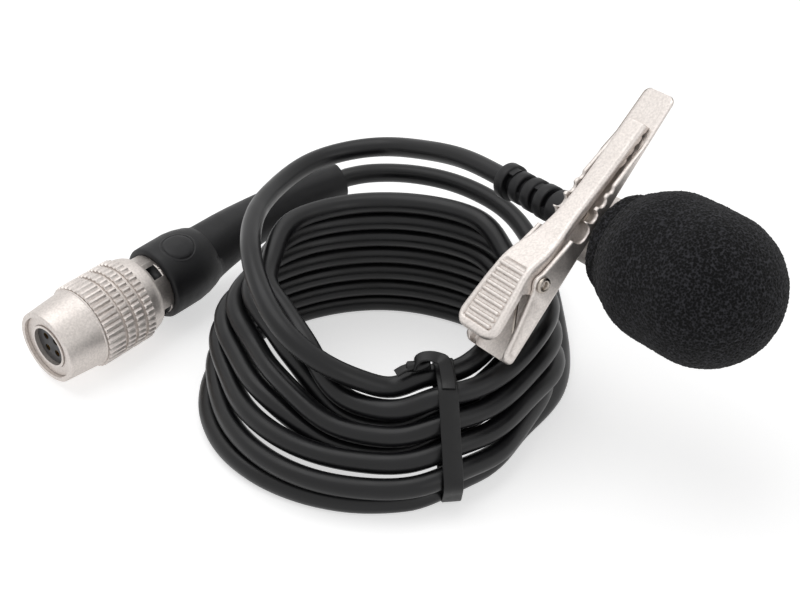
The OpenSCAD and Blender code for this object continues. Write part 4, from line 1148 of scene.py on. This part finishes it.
class LAVALIER_OT_stage(bpy.types.Operator):
    """Set up the camera, the pale floor and the soft lights"""

    bl_idname = "lavalier.stage"
    bl_label = "Stage"

    def execute(self, context):
        scene = context.scene
        look = scene.lavalier.stage
        scene.view_settings.view_transform = "Standard"
        eye = bpy.data.cameras.new("camera")
        eye.lens, eye.sensor_width, eye.clip_start = CAMERA_LENS, SENSOR_W, 0.01
        scene.camera = self.placed("camera", eye)
        scene.camera.location = CAMERA_AT
        scene.camera.rotation_euler = (math.radians(CAMERA_TILT), 0, 0)
        ground = bpy.data.meshes.new("floor")
        ground.from_pydata([(x * FLOOR_HALF, y * FLOOR_HALF, 0) for x, y in ((-1, -1), (1, -1), (1, 1), (-1, 1))],
                           [], [(0, 1, 2, 3)])
        ground.materials.append(self.pale_card())
        floor = self.placed("floor", ground)
        self.room(scene, look.sky)
        for name, at, aim, size, share in LAMPS:
            lamp = bpy.data.lights.new(name, "AREA")
            lamp.size, lamp.energy = size, look.key * share
            holder = self.placed(name, lamp)
            holder.location = at
            holder.rotation_euler = (Vector(aim) - Vector(at)).to_track_quat("-Z", "Y").to_euler()
        return {"FINISHED"}

    def placed(self, name, data):
        """New object in the scene."""
        made = bpy.data.objects.new(name, data)
        bpy.context.scene.collection.objects.link(made)
        return made

    def seen(self, tree):
        """1 where the camera, a reflection or a view through glass looks, and 0 for light that falls on things."""
        path = add(tree, "ShaderNodeLightPath").outputs
        mirrored = add(tree, "ShaderNodeMath", {0: path["Is Camera Ray"], 1: path["Is Glossy Ray"]},
                       operation="MAXIMUM").outputs[0]
        return add(tree, "ShaderNodeMath", {0: mirrored, 1: path["Is Transmission Ray"]},
                   operation="MAXIMUM").outputs[0]

    def pale_card(self):
        """White backdrop card: it stays white to the eye and keeps the soft shadow."""
        made = bpy.data.materials.new("white_card")
        tree = bare_tree(made)
        card = add(tree, "ShaderNodeBsdfDiffuse", {"Color": (CARD_WHITE, CARD_WHITE, CARD_WHITE, 1)})
        strength = add(tree, "ShaderNodeMath", {0: self.seen(tree), 1: CARD_GLOW}, operation="MULTIPLY").outputs[0]
        glow = add(tree, "ShaderNodeEmission", {"Color": (1, 1, 1, 1), "Strength": strength})
        both = add(tree, "ShaderNodeAddShader", {0: card.outputs[0], 1: glow.outputs[0]})
        add(tree, "ShaderNodeOutputMaterial", {"Surface": both.outputs[0]})
        return made

    def room(self, scene, strength):
        """White room that lights the object gently from all round."""
        scene.world = bpy.data.worlds.new("room")
        tree = bare_tree(scene.world)
        shine = add(tree, "ShaderNodeMapRange", {"Value": self.seen(tree), "To Min": strength,
                                                 "To Max": 1.0}).outputs["Result"]
        back = add(tree, "ShaderNodeBackground", {"Color": (1, 1, 1, 1), "Strength": shine})
        add(tree, "ShaderNodeOutputWorld", {"Surface": back.outputs[0]})


STEPS = (LAVALIER_OT_stage, LAVALIER_OT_cable, LAVALIER_OT_boot, LAVALIER_OT_plug, LAVALIER_OT_tie,
         LAVALIER_OT_strain_relief, LAVALIER_OT_microphone, LAVALIER_OT_windscreen, LAVALIER_OT_clip,
         LAVALIER_OT_declare_cable)


class LAVALIER_PT_panel(bpy.types.Panel):
    """Sidebar panel with the settings and the steps"""

    bl_idname = "LAVALIER_PT_panel"
    bl_label = "Lavalier microphone"
    bl_space_type = "VIEW_3D"
    bl_region_type = "UI"
    bl_category = "Lavalier"

    def draw(self, context):
        settings = context.scene.lavalier
        for name in ("cable", "foam", "clip", "plug", "stage"):
            box = self.layout.box()
            box.label(text=name.capitalize())
            group = getattr(settings, name)
            for field in type(group).__annotations__:
                box.prop(group, field)
        for step in STEPS:
            self.layout.operator(step.bl_idname)


CLASSES = (CableLook, FoamLook, ClipLook, PlugLook, StageLook, LavalierSettings, *STEPS, LAVALIER_PT_panel)


def register():
    """Makes the settings, steps and panel known to Blender."""
    for item in CLASSES:
        bpy.utils.register_class(item)
    bpy.types.Scene.lavalier = PointerProperty(type=LavalierSettings)


def unregister():
    """Takes them out again."""
    del bpy.types.Scene.lavalier
    for item in reversed(CLASSES):
        bpy.utils.unregister_class(item)


def main():
    """Runs every step in order."""
    register()
    for step in STEPS:
        group, name = step.bl_idname.split(".")
        getattr(getattr(bpy.ops, group), name)()
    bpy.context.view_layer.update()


if __name__ == "__main__":
    main()
